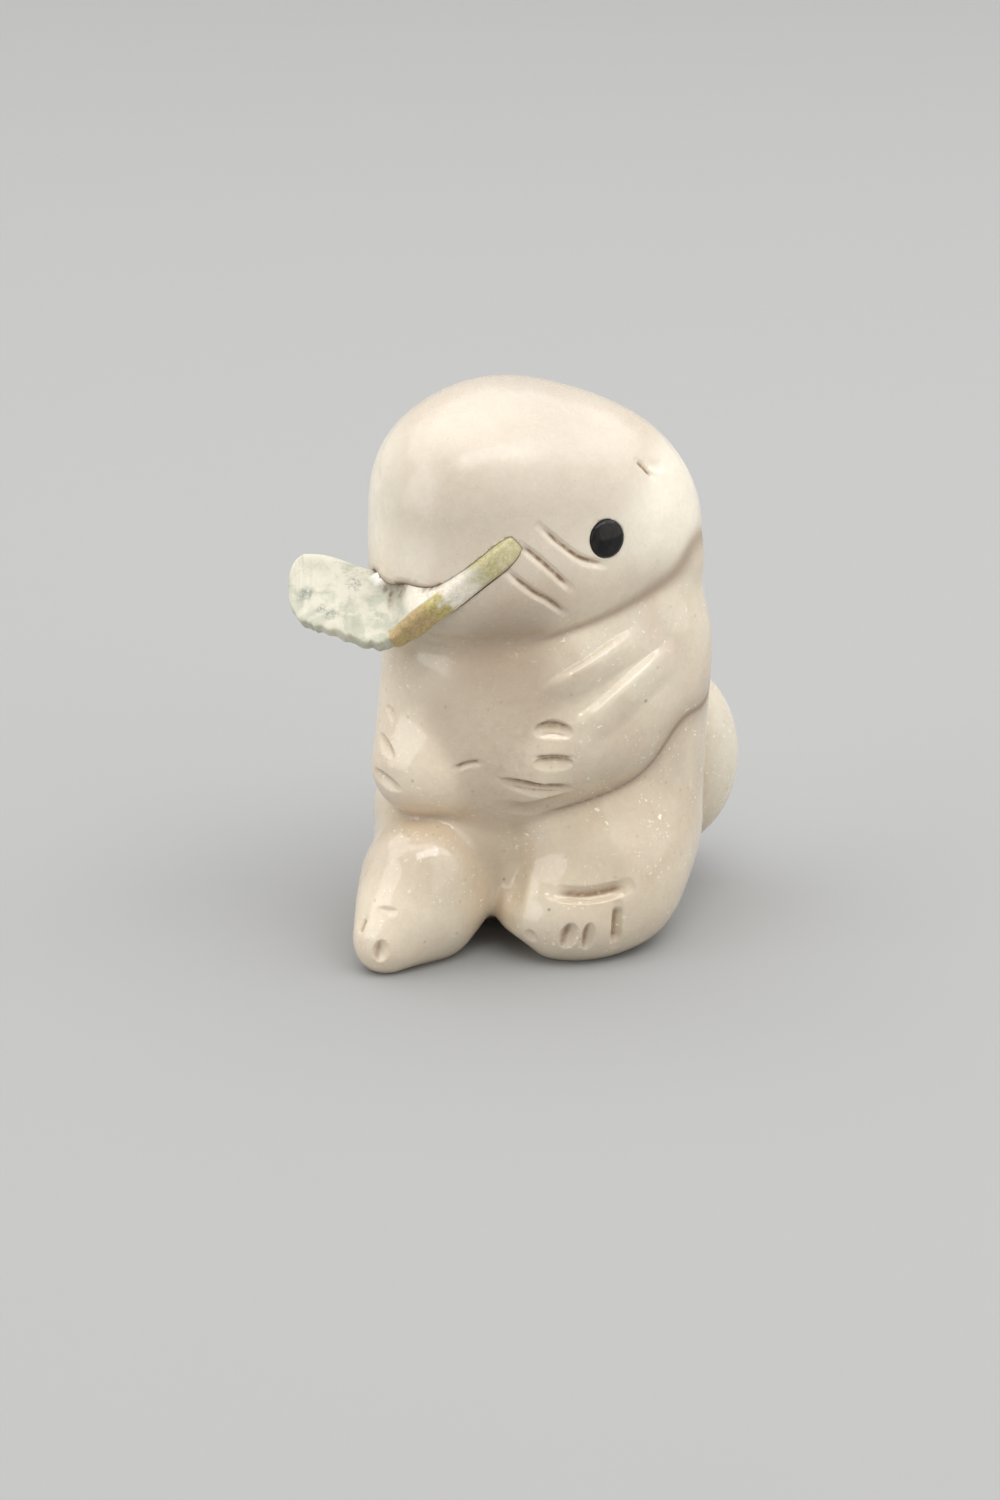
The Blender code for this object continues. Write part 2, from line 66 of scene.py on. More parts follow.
legForms = [
    dict(at=(1.9, 2, 9), radii=(14, 10, 11.5), blend=3),  # haunches
    dict(at=(8.3, 2, 16), radii=(8, 8, 10.4), power=2.6, blend=3),  # hip
    dict(at=(7.4, -1, 7.7), radii=(8.5, 9.9, 7.9), blend=2.5),  # left thigh
    dict(at=(4.8, -7.9, 3.7), radii=(6.2, 4.9, 4.3), blend=2),  # left foot
    dict(at=(7.7, -3.4, 4.4), radii=(6.4, 7.6, 5), power=2.3, blend=2.5),  # left heel
    dict(a=(-5.6, -1, 10.4), b=(-8.1, -6.9, 5.3), ends=(6, 4.8), blend=2.5),  # right thigh
    dict(a=(-7.6, -8.3, 3.8), b=(-11, -11.9, 2.2), ends=(4.3, 2.5), blend=3),  # right foot
    dict(a=(-8.6, -8.2, 7), b=(-11, -11.6, 3.2), ends=(4.3, 2.3), blend=2),  # right instep
    dict(a=(-7.6, -9.2, 8.4), b=(-9.2, -10.6, 5), ends=(2.8, 3), blend=2.5),  # right shin
]
tailForms = [
    dict(a=(1, 7, 4.5), b=(9, 9.2, 8.5), ends=(4.2, 5), blend=0),  # root
    dict(at=(13.4, 10.2, 11.3), radii=(6.8, 4.6, 8.9), blend=4),  # lobe
]
headForms = [
    dict(at=(3.8, 1.6, 36), radii=(13.1, 9.8, 11.3), turn=(0, 22, 22), blend=0),  # skull
    dict(at=(-3.1, -2, 38.2), radii=(9.2, 8.6, 9.6), turn=(0, 0, 25), power=2.25, blend=3.5),  # snout
    dict(at=(-1.1, 2, 39.7), radii=(9.5, 8, 8.5), turn=(0, 8, 22), blend=3),  # crown
    dict(at=(-1.1, -2.6, 33), radii=(11.2, 8.6, 6.6), turn=(0, 0, 22), blend=3),  # jaw
]
archForm = dict(a=(-0.9, -12, -0.6), b=(-0.9, -1.5, -0.6), ends=(2.6, 2), blend=1.5)

# how sharply the forms meet, in millimetres
seams = dict(limb=0.6, tail=0.25, neck=0.5, chin=1.4, chinFrom=5, chinTo=-3)


def turnMatrix(turn):
    aboutX, aboutY, aboutZ = (radians(t) for t in turn)
    return np.array(Matrix.Rotation(aboutZ, 3, "Z") @ Matrix.Rotation(aboutY, 3, "Y")
                    @ Matrix.Rotation(aboutX, 3, "X"))


# each egg's turn is worked out once
for form in torsoForms + armForms + legForms + tailForms + headForms + [archForm]:
    form["matrix"] = turnMatrix(form.get("turn", (0, 0, 0)))


def eggDistance(points, form):
    radii = np.array(form["radii"])
    local = (points - np.array(form["at"])) @ form["matrix"]
    share = np.maximum(np.abs(local) / radii, 1e-6)
    power = form.get("power", 2)
    if power == 2:
        reach = np.sqrt((share * share).sum(1))
        slope = np.sqrt(((share / radii) ** 2).sum(1)) / reach
        return (reach - 1) / slope
    reach = (share ** power).sum(1) ** (1 / power)
    slope = np.sqrt(((share ** (power - 1) / radii) ** 2).sum(1)) * reach ** (1 - power)
    return (reach - 1) / slope


def limbDistance(points, form):
    start, end = np.array(form["a"]), np.array(form["b"])
    startRadius, endRadius = form["ends"]
    length = norm(end - start)
    axis = (end - start) / length
    lean = asin((startRadius - endRadius) / length)
    fromStart = points - start
    run = fromStart @ axis
    off = norm(fromStart - np.outer(run, axis), axis=1)
    side = off * cos(lean) + run * sin(lean) - startRadius
    foot = run - off * sin(lean) / cos(lean)
    startBall = np.hypot(run, off) - startRadius
    endBall = np.hypot(run - length, off) - endRadius
    return np.where(foot < 0, startBall, np.where(foot > length, endBall, side))


def formDistance(points, form):
    return eggDistance(points, form) if "at" in form else limbDistance(points, form)


def joined(first, second, blend):
    near = np.maximum(blend - np.abs(first - second), 0) / np.maximum(blend, 1e-6)
    return np.minimum(first, second) - near * near * blend / 4


def gathered(points, forms, start=None):
    total = start
    for form in forms:
        one = formDistance(points, form)
        total = one if total is None else joined(total, one, form["blend"])
    return total


def between(first, second, share):
    return first * (1 - share) + second * share


def easeBetween(low, high, value):
    share = np.clip((value - low) / (high - low), 0, 1)
    return share * share * (3 - 2 * share)


def bodyParts(points):
    # distances to the upper body, the legs, the tail and the head
    torso = gathered(points, torsoForms)
    return (gathered(points, armForms, torso), gathered(points, legForms, torso),
            gathered(points, tailForms), gathered(points, headForms))


def neckBlend(points):
    # crisp behind the cheek, soft under the chin
    soft = easeBetween(seams["chinFrom"], seams["chinTo"], points[:, 0])
    return between(seams["neck"], seams["chin"], soft)


def figureDistance(points):
    upper, lower, tail, head = bodyParts(points)
    body = joined(upper, lower, seams["limb"])
    body = -joined(-body, formDistance(points, archForm), archForm["blend"])
    body = joined(body, tail, seams["tail"])
    return joined(body, head, neckBlend(points))


def skinNormals(points, reach=0.05):
    steps = np.array([(1, -1, -1), (-1, -1, 1), (-1, 1, -1), (1, 1, 1)], float)
    rise = sum(step * figureDistance(points + step * reach)[:, None] for step in steps)
    return rise / norm(rise, axis=1, keepdims=True)


settleShare = 0.9   # of its distance that a point moves to the skin in one round
dropSpec = dict(start=30, rounds=60)  # millimetres in front of the figure, and rounds


def settled(points, rounds):
    for _ in range(rounds):
        points = points - skinNormals(points) * figureDistance(points)[:, None] * settleShare
    return points


def dropped(places, facing, centre=(0, 0)):
    # skin points under flat places (sideways, height), seen from an azimuth
    turn = radians(facing)
    sideways, outward = np.array((cos(turn), sin(turn), 0)), np.array((sin(turn), -cos(turn), 0))
    middle = np.array((centre[0], centre[1], 0)) + outward * dropSpec["start"]
    points = np.array([middle + sideways * u + (0, 0, z) for u, z in places])
    for _ in range(dropSpec["rounds"]):
        points = points - outward * figureDistance(points)[:, None] * settleShare
    return points


def smoothPath(points, count):
    # evenly spread places on a smooth curve through the given ones
    points = np.array(points, float)
    if len(points) == 2:
        return points[0] + np.linspace(0, 1, count)[:, None] * (points[1] - points[0])
    padded = np.vstack([2 * points[0] - points[1], points, 2 * points[-1] - points[-2]])
    places = []
    for share in np.linspace(0, len(points) - 1, count):
        span = min(int(share), len(points) - 2)
        t = share - span
        p0, p1, p2, p3 = padded[span:span + 4]
        places.append(0.5 * (2 * p1 + (p2 - p0) * t + (2 * p0 - 5 * p1 + 4 * p2 - p3) * t * t
                             + (3 * p1 - p0 - 3 * p2 + p3) * t ** 3))
    return np.array(places)


# mesh helpers

def newObject(name, data):
    item = bpy.data.objects.new(name, data)
    scene.collection.objects.link(item)
    return item


def bakeModifiers(item):
    graph = bpy.context.evaluated_depsgraph_get()
    mesh = bpy.data.meshes.new_from_object(item.evaluated_get(graph))
    item.modifiers.clear()
    item.data = mesh


def meshPoints(mesh):
    points = np.empty(len(mesh.vertices) * 3)
    mesh.vertices.foreach_get("co", points)
    return points.reshape(-1, 3)


def setPoints(mesh, points):
    mesh.vertices.foreach_set("co", points.ravel())
    mesh.update()


def setAttribute(mesh, name, values):
    layer = mesh.attributes.get(name) or mesh.attributes.new(name, "FLOAT", "POINT")
    layer.data.foreach_set("value", np.asarray(values, dtype=np.float32))


def toFrame(item):
    item.data.transform(Matrix.Translation(layout["shift"]) @ Matrix.Scale(layout["scale"], 4))


def ringSolid(rings, name):
    # closed solid through rings of equal size, each end drawn in to a point
    work = bmesh.new()
    rows = [[work.verts.new(point) for point in ring] for ring in rings]
    sides = len(rows[0])
    for row, after in zip(rows, rows[1:]):
        for i in range(sides):
            j = (i + 1) % sides
            work.faces.new((row[i], row[j], after[j], after[i]))
    for row in (rows[0], rows[-1]):
        pole = work.verts.new(sum((vert.co for vert in row), Vector()) / sides)
        for i in range(sides):
            work.faces.new((row[i], row[(i + 1) % sides], pole))
    bmesh.ops.recalc_face_normals(work, faces=work.faces[:])
    mesh = bpy.data.meshes.new(name)
    work.to_mesh(mesh)
    work.free()
    mesh.shade_smooth()
    return newObject(name, mesh)


# node helpers

building = dict(tree=None)  # the node tree that the helpers add to


def plugIn(node, inputs):
    for key, value in inputs.items():
        if isinstance(value, bpy.types.NodeSocket):
            building["tree"].links.new(value, node.inputs[key])
        else:
            node.inputs[key].default_value = value


def addNode(kind, inputs=None, **settings):
    node = building["tree"].nodes.new(kind)
    for key, value in settings.items():
        setattr(node, key, value)
    plugIn(node, inputs or {})
    return node


def compute(operation, first, second=0):
    return addNode("ShaderNodeMath", {0: first, 1: second}, operation=operation).outputs[0]


def times(first, second):
    return compute("MULTIPLY", first, second)


def fromHalf(value):
    # a noise about nil instead of a half
    return compute("SUBTRACT", value, 0.5)


def vector(operation, first, second):
    inputs = {0: first, "Scale" if operation == "SCALE" else 1: second}
    return addNode("ShaderNodeVectorMath", inputs, operation=operation).outputs[0]


def finishShader(shader, colour, gloss, height, strength, distance, more):
    bump = addNode("ShaderNodeBump", {"Height": height, "Strength": strength, "Distance": distance})
    plugIn(shader, {"Base Color": colour, "Roughness": gloss, "Normal": bump.outputs[0], **more})


def mapRange(value, low, high, toLow=0, toHigh=1, smooth=True):
    inputs = {"Value": value, "From Min": low, "From Max": high, "To Min": toLow,
              "To Max": toHigh}
    kind = "SMOOTHSTEP" if smooth else "LINEAR"
    return addNode("ShaderNodeMapRange", inputs, interpolation_type=kind).outputs[0]


def mixColour(factor, first, second, blend="MIX"):
    first, second = ((*c, 1) if isinstance(c, tuple) else c for c in (first, second))
    node = addNode("ShaderNodeMix", {0: factor, 6: first, 7: second}, data_type="RGBA",
                   blend_type=blend)
    return node.outputs[2]


def painted(colour, look, *coats):
    # coats of the look's colours, each with its share, laid over a colour
    for share, name in coats:
        colour = mixColour(share, colour, look[name])
    return colour


def part(value, kind, name):
    return addNode("ShaderNodeSeparate" + kind, {0: value}).outputs[name]


def noise(place, scale, detail=3, roughness=0.55, distortion=0):
    inputs = {"Vector": place, "Scale": scale, "Detail": detail, "Roughness": roughness,
              "Distortion": distortion}
    return addNode("ShaderNodeTexNoise", inputs).outputs["Fac"]


def noiseRange(place, settings, *span):
    # noise with its scale, detail and the rest, eased between the span's numbers
    return mapRange(noise(place, *settings), *span)


def newMaterial(name):
    material = bpy.data.materials.new(name)
    material.use_nodes = True
    building["tree"] = material.node_tree
    return material, material.node_tree.nodes["Principled BSDF"]


def millimetres():
    # the object's own coordinates, in the carving's millimetres
    coords = addNode("ShaderNodeTexCoord").outputs["Object"]
    return vector("SCALE", vector("SUBTRACT", coords, layout["shift"]), 1 / layout["scale"])


def attribute(name):
    return addNode("ShaderNodeAttribute", attribute_name=name).outputs["Fac"]


def spot(place, at, radius, softness):
    # 1 at a place, falling to 0 at its radius
    away = addNode("ShaderNodeVectorMath", {0: place, 1: at}, operation="DISTANCE")
    return mapRange(away.outputs["Value"], radius, radius * (1 - softness))


# Marks cut in the skin: the azimuth that one is seen from, its path in flat places (sideways,
# height), its width above and below the line, depth, stain and kind. An oval mark is scooped out
# with a steep upper wall, a fine one is scratched on top of the others, a negative depth is a fold.
markParts = ("facing", "path", "up", "down", "depth", "stain", "kind")
bodyMarks = [
    (0, [(1.6, 21.3), (3.3, 21.5), (5.1, 21)], 0.85, 0.9, 0.5, 0.65, "oval"),
    (0, [(1.7, 21.8), (3.3, 22.05), (5, 21.5)], 0.2, 0.24, 0.14, 0.9, "fine"),
    (0, [(2, 21), (3.3, 21.1), (4.6, 20.8)], 0.14, 0.18, 0.07, 0.5, "fine"),
    (0, [(1.6, 19.1), (3.3, 19.2), (5.1, 18.95)], 0.2, 0.26, 0.16, 1, "fine"),
    (0, [(1.6, 18.5), (3.3, 18.6), (5.1, 18.4)], 0.75, 0.85, 0.48, 0.8, "oval"),
    (0, [(-1.3, 16.9), (0.4, 16.4), (2, 15.9), (3.3, 15.8), (5.2, 15.8)], 0.75, 0.85, 0.5,
     0.9, "oval"),
    (0, [(-1.4, 17.1), (0.3, 16.8), (1.9, 16.3), (3.3, 16.35), (5.2, 16.15)], 0.2, 0.28,
     0.18, 1, "fine"),
    (0, [(-0.5, 16.3), (1, 15.8), (2.6, 15.5), (4.4, 15.5)], 0.16, 0.2, 0.1, 0.5, "fine"),
    (-40, [(-4.5, 21.8), (-3.6, 21.5), (-3, 20.9)], 0.5, 0.55, 0.3, 0.3, "oval"),
    (-40, [(-4.8, 19.5), (-3.5, 18.9), (-2.1, 18.2)], 0.55, 0.65, 0.45, 0.5, "oval"),
    (-40, [(-4.6, 16.5), (-2.9, 16.1), (-1.1, 15.5)], 0.65, 0.8, 0.5, 0.6, "oval"),
    (15, [(0.3, 6.7), (3.3, 6.65), (6.6, 7.1)], 0.9, 0.7, 0.55, 0.8),
    (15, [(1.6, 4.5), (1.25, 3.3), (0.9, 2)], 0.85, 0.85, 0.65, 0.85, "oval"),
    (15, [(3.1, 4.5), (2.9, 3.2), (2.75, 1.8)], 0.65, 0.65, 0.55, 0.85, "oval"),
    (15, [(5.55, 5.7), (5.4, 3.9), (5.35, 2)], 0.55, 0.65, 0.6, 0.9),
    (-25, [(-3.9, 3.7), (-4.15, 2.7), (-4.4, 1.6)], 0.75, 0.75, 0.6, 0.6, "oval"),
    (-25, [(-5, 6.1), (-4, 6), (-3, 6.1)], 0.5, 0.6, 0.18, 0.4, "oval"),
    (-60, [(5, 5.1), (4.9, 3.7)], 0.3, 0.3, 0.25, 0.6),
    (0, [(-5.1, 17.8), (-4, 18.35), (-2.8, 18.65)], 0.25, 0.5, 0.25, 0.8),
    (0, [(1, 3.4), (1.9, 2.5)], 0.6, 0.6, 0.3, 0.1, "oval"),
    # soft hollows: under the left paw and inside the left leg
    (0, [(-0.9, 14.2), (0.9, 13.9), (2.8, 14.3), (5.2, 15.1)], 0.8, 1, 0.35, 0.35),
    (0, [(0.1, 12.9), (0.35, 9.4), (0, 6.5), (-0.3, 4.4)], 1.5, 1.3, 0.5, 0),
    # raised folds along the left arm
    (30, [(7, 28.8), (3.7, 27.8), (1.3, 26.8), (-1.2, 25.6), (-3.3, 24.3)], 0.75, 2.2, -0.6, 0),
    (30, [(10.2, 27.1), (6.9, 25.7), (4.1, 24.3), (1, 22.5), (-1.3, 21)], 0.8, 2.4, -0.6, 0),
]
# head marks are laid along the head and up, and cut on both its sides
headMarks = [
    (None, [(-2.6, 39.3), (-0.6, 37.4), (1.1, 36.1), (3.3, 35.2)], 0.38, 0.5, 0.36, 1),
    (None, [(-4.3, 37.9), (-2.3, 36), (-0.1, 33.7)], 0.38, 0.52, 0.34, 1),
    (None, [(-5.9, 36), (-3.7, 34), (-2.1, 32.9), (-0.5, 31.5)], 0.38, 0.52, 0.34, 1),
    (None, [(7.7, 42.9), (8.3, 42.2), (9, 41.3)], 0.45, 0.2, 0.3, 1),
    (None, [(8.8, 42.5), (9.6, 42), (10.7, 41.9)], 0.5, 0.5, 0.2, 0),
]
headPlace = dict(centre=(0.5, -0.2), turn=25)
pathSpec = dict(places=41, feel=0.4)  # places along a mark, reach of the normals there
# how the walls round off, how a cut fades at its ends, and where the stain lies across it
cutShape = dict(ovalRound=0.8, ovalFloor=0.8, ovalWall=0.35, ovalLip=0.45, round=1.2, lip=0.2,
                lipWidth=0.7, stainRound=0.25, fadeSpan=0.22, fadeShare=0.8, fadeRest=0.2,
                foldSpan=0.3, margin=0.5, coarse=1.1)


def headFacing(side):
    return headPlace["turn"] + (0 if side > 0 else 180)


def layMarks():
    # every mark with its path on the skin and the direction across it
    body = [dict(zip(markParts, row)) for row in bodyMarks]
    head = [dict(zip(markParts, row)) for row in headMarks]
    flat = [(mark, mark["path"], mark["facing"], (0, 0)) for mark in body]
    for side in (1, -1):
        for mark in head:
            path = [(u * side, z) for u, z in mark["path"]]
            flat.append((mark, path, headFacing(side), headPlace["centre"]))
    laid = []
    for mark, path, facing, centre in flat:
        skin = dropped(smoothPath(path, pathSpec["places"]), facing, centre)
        ahead = np.gradient(skin, axis=0)
        ahead /= norm(ahead, axis=1, keepdims=True)
        normals = skinNormals(skin, pathSpec["feel"])
        upward = np.cross(normals, ahead)
        if upward[:, 2].mean() < 0 or abs(upward[:, 2].mean()) < 0.2 and upward[:, 0].mean() < 0:
            upward = -upward
        laid.append((mark, skin, upward))
    return laid


laidMarks = layMarks()
print("marks laid:", len(laidMarks))


def inBox(points, corners, reach):
    # the rows of the points that lie in a box round the corners
    low, high = np.min(corners, axis=0) - reach, np.max(corners, axis=0) + reach
    return np.where(((points > low) & (points < high)).all(1))[0]


def markReach(points, margin):
    # True where a point is within the margin of any mark's edge
    near = np.zeros(len(points), bool)
    for mark, skin, _ in laidMarks:
        if mark["depth"] > 0 and mark["stain"] == 0:
            continue
        reach = min(max(mark["up"], mark["down"]), cutShape["coarse"]) + margin
        rows = inBox(points, skin, reach)
        if len(rows):
            away = norm(points[rows, None] - skin[None, ::2], axis=2).min(1)
            near[rows[away < reach]] = True
    return near


def markDepths(points):
    # how deep each point is cut, and how stained it is
    depth, stain = np.zeros(len(points)), np.zeros(len(points))
    for mark, skin, upward in laidMarks:
        up, down, deep, kind = mark["up"], mark["down"], mark["depth"], mark.get("kind")
        rows = inBox(points, skin, max(up, down) + cutShape["margin"])
        if not len(rows):
            continue
        offset = points[rows, None] - skin[None]
        nearest = norm(offset, axis=2).argmin(1)
        away = offset[np.arange(len(rows)), nearest]
        across = (away * upward[nearest]).sum(1)
        tangents = np.gradient(skin, axis=0)
        spacing = norm(tangents, axis=1)[nearest]
        slide = nearest + (away * tangents[nearest]).sum(1) / spacing ** 2
        reached = np.clip(slide, 0, len(skin) - 1)
        past = np.abs(slide - reached) * spacing
        width = np.where(across > 0, up, down)
        share = reached / (len(skin) - 1)
        half = 0.5 * norm(skin[-1] - skin[0])
        middle = 0.5 * (up + down)
        if kind == "oval":
            along = np.abs(2 * share - 1) + past / half
            side = np.hypot(across / width, along)
            wall = cutShape["ovalFloor"] + cutShape["ovalWall"] * across / width
            cut = np.maximum(1 - side * side, 0) ** cutShape["ovalRound"] * wall
            fade = 1
            lip = across / width - cutShape["ovalLip"]
        else:
            side = np.hypot(across / width, past / middle)
            cut = np.maximum(1 - side * side, 0) ** cutShape["round"]
            span = cutShape["fadeSpan"]
            fade = easeBetween(0, span, share) * easeBetween(0, span, 1 - share)
            fade = fade * cutShape["fadeShare"] + cutShape["fadeRest"]
            lip = (across - cutShape["lip"] * up) / width
        if deep < 0:
            fromEnd = np.minimum(share, 1 - share)
            depth[rows] += deep * cut * easeBetween(0, cutShape["foldSpan"], fromEnd)
            continue
        if kind == "fine":
            depth[rows] += deep * cut * fade
        else:
            depth[rows] = np.maximum(depth[rows], deep * cut * fade)
        colour = (np.maximum(1 - np.abs(lip) / cutShape["lipWidth"], 0)
                  * np.maximum(1 - side, 0) ** cutShape["stainRound"])
        stain[rows] = np.maximum(stain[rows], mark["stain"] * colour * fade)
    return depth, stain


# The fish: a flat blade that follows a bent near edge, thin and wide at its fan
fishShape = dict(
    corner=(0, 37.6), proud=0.7, length=22.4, width=6.2, fanWidth=7.8, thick=2.4, fanThick=1.7,
    tipRound=2.6, fanRound=4, hollow=0.55, frill=0.2, frills=15, chips=0.45, ribs=0.09,
    lumps=0.2, tilt=(4, 34), tiltSpan=(0.12, 0.52), fanSpan=(0.44, 0.56), endThick=0.35,
    edgePower=0.4, stations=220, sides=72,
    # bulges: height, place along the fish, span
    heel=(0.55, 0.52, 0.16), crest=(0.45, 0.46, 0.15),
    bend=[(0.045, 0.008, 0.042), (-0.150, -0.032, -0.112), (-0.320, -0.050, -0.249),
          (-0.500, -0.058, -0.358), (-0.695, 0, -0.322), (-0.846, 0.09, -0.325)])
slotSpec = dict(gap=0.05, stations=60, sides=32)  # the gap is between the fish and the stone


def handNoise(x, y, z):
    return handRough.noise(Vector((float(x), float(y), float(z))))


def bulge(height, middle, span, share):
    return height * easeBetween(span, 0, abs(share - middle))


def signedPower(value, power):
    return abs(value) ** power * (1 if value > 0 else -1)


def fishEdge(share):
    bend = np.array(fishShape["bend"], float)
    spans = len(bend) - 1
    span = min(max(int(share * spans), 0), spans - 1)
    start, end = bend[span], bend[span + 1]
    before = bend[span - 1] if span > 0 else 2 * start - end
    after = bend[span + 2] if span + 2 <= spans else 2 * end - start
    t = share * spans - span
    leave, arrive = (end - before) / 2, (after - start) / 2
    place = (start * (1 + t * t * (2 * t - 3)) + end * t * t * (3 - 2 * t)
             + leave * t * (1 - t) ** 2 - arrive * t * t * (1 - t))
    return fishCorner + place * fishShape["length"]


fishCorner = dropped([fishShape["corner"]], 0)[0] + (0, -fishShape["proud"], 0)


def fishRings(grow, stations, sides):
    shape = fishShape
    rings, marks = [], []
    for i in range(stations + 1):
        end = 0.5 - 0.5 * cos(pi * (i + 0.5) / (stations + 1))
        share = -grow / shape["length"] + end * (1 + 2 * grow / shape["length"])
        atTip = min((share * shape["length"] + grow) / (shape["tipRound"] + grow), 1)
        atFan = min(((1 - share) * shape["length"] + grow) / (shape["fanRound"] + grow), 1)
        roundOff = sqrt(1 - (1 - atTip) ** 2) * (1 - (1 - atFan) ** 3) ** (1 / 3)
        fan = easeBetween(*shape["fanSpan"], share)
        halfWidth = between(shape["width"], shape["fanWidth"], fan) / 2
        halfThick = between(shape["thick"], shape["fanThick"], fan) / 2
        tilt = radians(between(*shape["tilt"], easeBetween(*shape["tiltSpan"], share)))
        across = np.array((0, cos(tilt), sin(tilt)))
        ahead = fishEdge(share + 0.01) - fishEdge(share - 0.01)
        top = np.cross(across, ahead)
        top = top / norm(top)
        if top[2] < 0:
            top = -top
        frill = shape["frill"] * fan * (0.5 - 0.5 * cos(2 * pi * shape["frills"] * share))
        hollow = shape["hollow"] * fan * roundOff
        chipped = fan * max(handNoise(share * 34, 0.3, 0), 0) * shape["chips"]
        middle = fishEdge(share) + across * halfWidth
        ring = []
        for k in range(sides):
            turn = 2 * pi * (k + 0.5) / sides
            side, rise = (signedPower(wave(turn), shape["edgePower"]) for wave in (cos, sin))
            reach = halfWidth + grow
            thick = (halfThick + grow) * (shape["endThick"] + (1 - shape["endThick"]) * roundOff)
            dip = 0
            if rise < 0:
                thick += bulge(*shape["heel"], share)
            else:
                height, middleShare, span = shape["crest"]
                thick += bulge(height * (0.5 + 0.5 * side), middleShare, span, share)
            if grow == 0:
                reach -= frill + chipped if side < 0 else 0
                dip = hollow * (1 - side * side) if rise > 0 else 0
                # fine ribs across the fan and lumps along its edges
                rib = handNoise(share * 55, side * 1.5, 1.7) * shape["ribs"]
                lump = handNoise(share * 14, side * 2.2, 4.1) * shape["lumps"]
                thick += fan * (rib + lump) * (1 if rise > 0 else 0.5)
            ring.append(Vector(middle + across * side * reach * roundOff + top * (rise * thick - dip)))
            marks.append((share, side, rise))
        rings.append(ring)
    return rings, np.array(marks)


eyeSpec = dict(place=(3.6, 37.4), feel=1, radius=1.6, length=2.4, dome=0.5, sides=65, gap=0.06,
               bevel=0.28)


def eyeFrame(side):
    # rim centre and outward axis of an eye
    sideways, height = eyeSpec["place"]
    point = dropped([(sideways * side, height)], headFacing(side), headPlace["centre"])
    return Vector(point[0]), Vector(skinNormals(point, eyeSpec["feel"])[0])


def turnedSolid(profile, centre, axis, name, sides=48):
    first = axis.orthogonal().normalized()
    second = axis.cross(first)
    turns = [2 * pi * k / sides for k in range(sides)]
    rings = [[centre + axis * height + (first * cos(turn) + second * sin(turn)) * radius
              for turn in turns] for radius, height in profile]
    return ringSolid(rings, name)


# The otter's skin
skinSpec = dict(grids=(0.5, 0.45), rounds=(5, 3), lastRounds=4, coarseMargin=0.4,
                markMargin=0.06, creaseWidth=0.42, eyeMargin=2)


def roughFigure():
    # plain balls in the places of the forms
    work = bmesh.new()
    for form in torsoForms + armForms + legForms + tailForms + headForms:
        if "at" in form:
            balls = [(form["at"], form["radii"])]
        else:
            shares = np.linspace(0, 1, 7)
            start, end = Vector(form["a"]), Vector(form["b"])
            radii = [between(*form["ends"], s) for s in shares]
            balls = [(start.lerp(end, s), (r, r, r)) for s, r in zip(shares, radii)]
        for at, radii in balls:
            place = (Matrix.Translation(at) @ Matrix(form["matrix"].tolist()).to_4x4()
                     @ Matrix.Diagonal((*radii, 1)))
            bmesh.ops.create_icosphere(work, subdivisions=4, radius=1, matrix=place)
    mesh = bpy.data.meshes.new("otterSkin")
    work.to_mesh(mesh)
    work.free()
    return newObject("otterSkin", mesh)


def voxelSkin(item, size):
    grid = item.modifiers.new("Skin grid", "REMESH")
    grid.mode = "VOXEL"
    grid.voxel_size = size
    bakeModifiers(item)


def refine(mesh, choose):
    # halve the faces that are chosen by their middles
    work = bmesh.new()
    work.from_mesh(mesh)
    work.faces.ensure_lookup_table()
    middles = np.array([face.calc_center_median() for face in work.faces])
    edges = set()
    for row in np.where(choose(middles))[0]:
        edges.update(work.faces[row].edges)
    bmesh.ops.subdivide_edges(work, edges=list(edges), cuts=1, use_grid_fill=True)
    work.to_mesh(mesh)
    work.free()


def cutFlat(mesh):
    # everything below the underside is cut away and the cut closed
    work = bmesh.new()
    work.from_mesh(mesh)
    bmesh.ops.bisect_plane(work, geom=work.verts[:] + work.edges[:] + work.faces[:], dist=0.02,
                           plane_co=(0, 0, 0), plane_no=(0, 0, 1), clear_inner=True)
    for vert in work.verts:
        vert.co.z = max(vert.co.z, 0)
    bmesh.ops.holes_fill(work, edges=[e for e in work.edges if e.is_boundary], sides=0)
    bmesh.ops.triangulate(work, faces=work.faces[:])
    bmesh.ops.recalc_face_normals(work, faces=work.faces[:])
    work.to_mesh(mesh)
    work.free()


def seamDistance(points):
    # how far a point is from each seam: limbs, tail, neck
    upper, lower, tail, head = bodyParts(points)
    body = np.minimum(upper, lower)
    whole = np.minimum(body, tail)
    limb = np.abs(upper - lower) + np.maximum(np.minimum(tail, head) * -1, 0) * 3
    return limb, np.abs(body - tail), np.abs(whole - head)


def limbParting(points, step=0.2):
    # how fast the upper and lower forms part, nil where they are one
    slopes = []
    for shift in np.eye(3) * step:
        ahead, behind = bodyParts(points + shift), bodyParts(points - shift)
        slopes.append((ahead[0] - ahead[1] - behind[0] + behind[1]) / (2 * step))
    return norm(slopes, axis=0)


def nearCrease(points):
    limb, tail, neck = seamDistance(points)
    return np.minimum(np.minimum(limb, tail), neck) < skinSpec["creaseWidth"]


def nearEyes(points):
    near = np.zeros(len(points), bool)
    for side in (1, -1):
        near |= norm(points - np.array(eyeFrame(side)[0]), axis=1) < skinSpec["eyeMargin"]
    return near


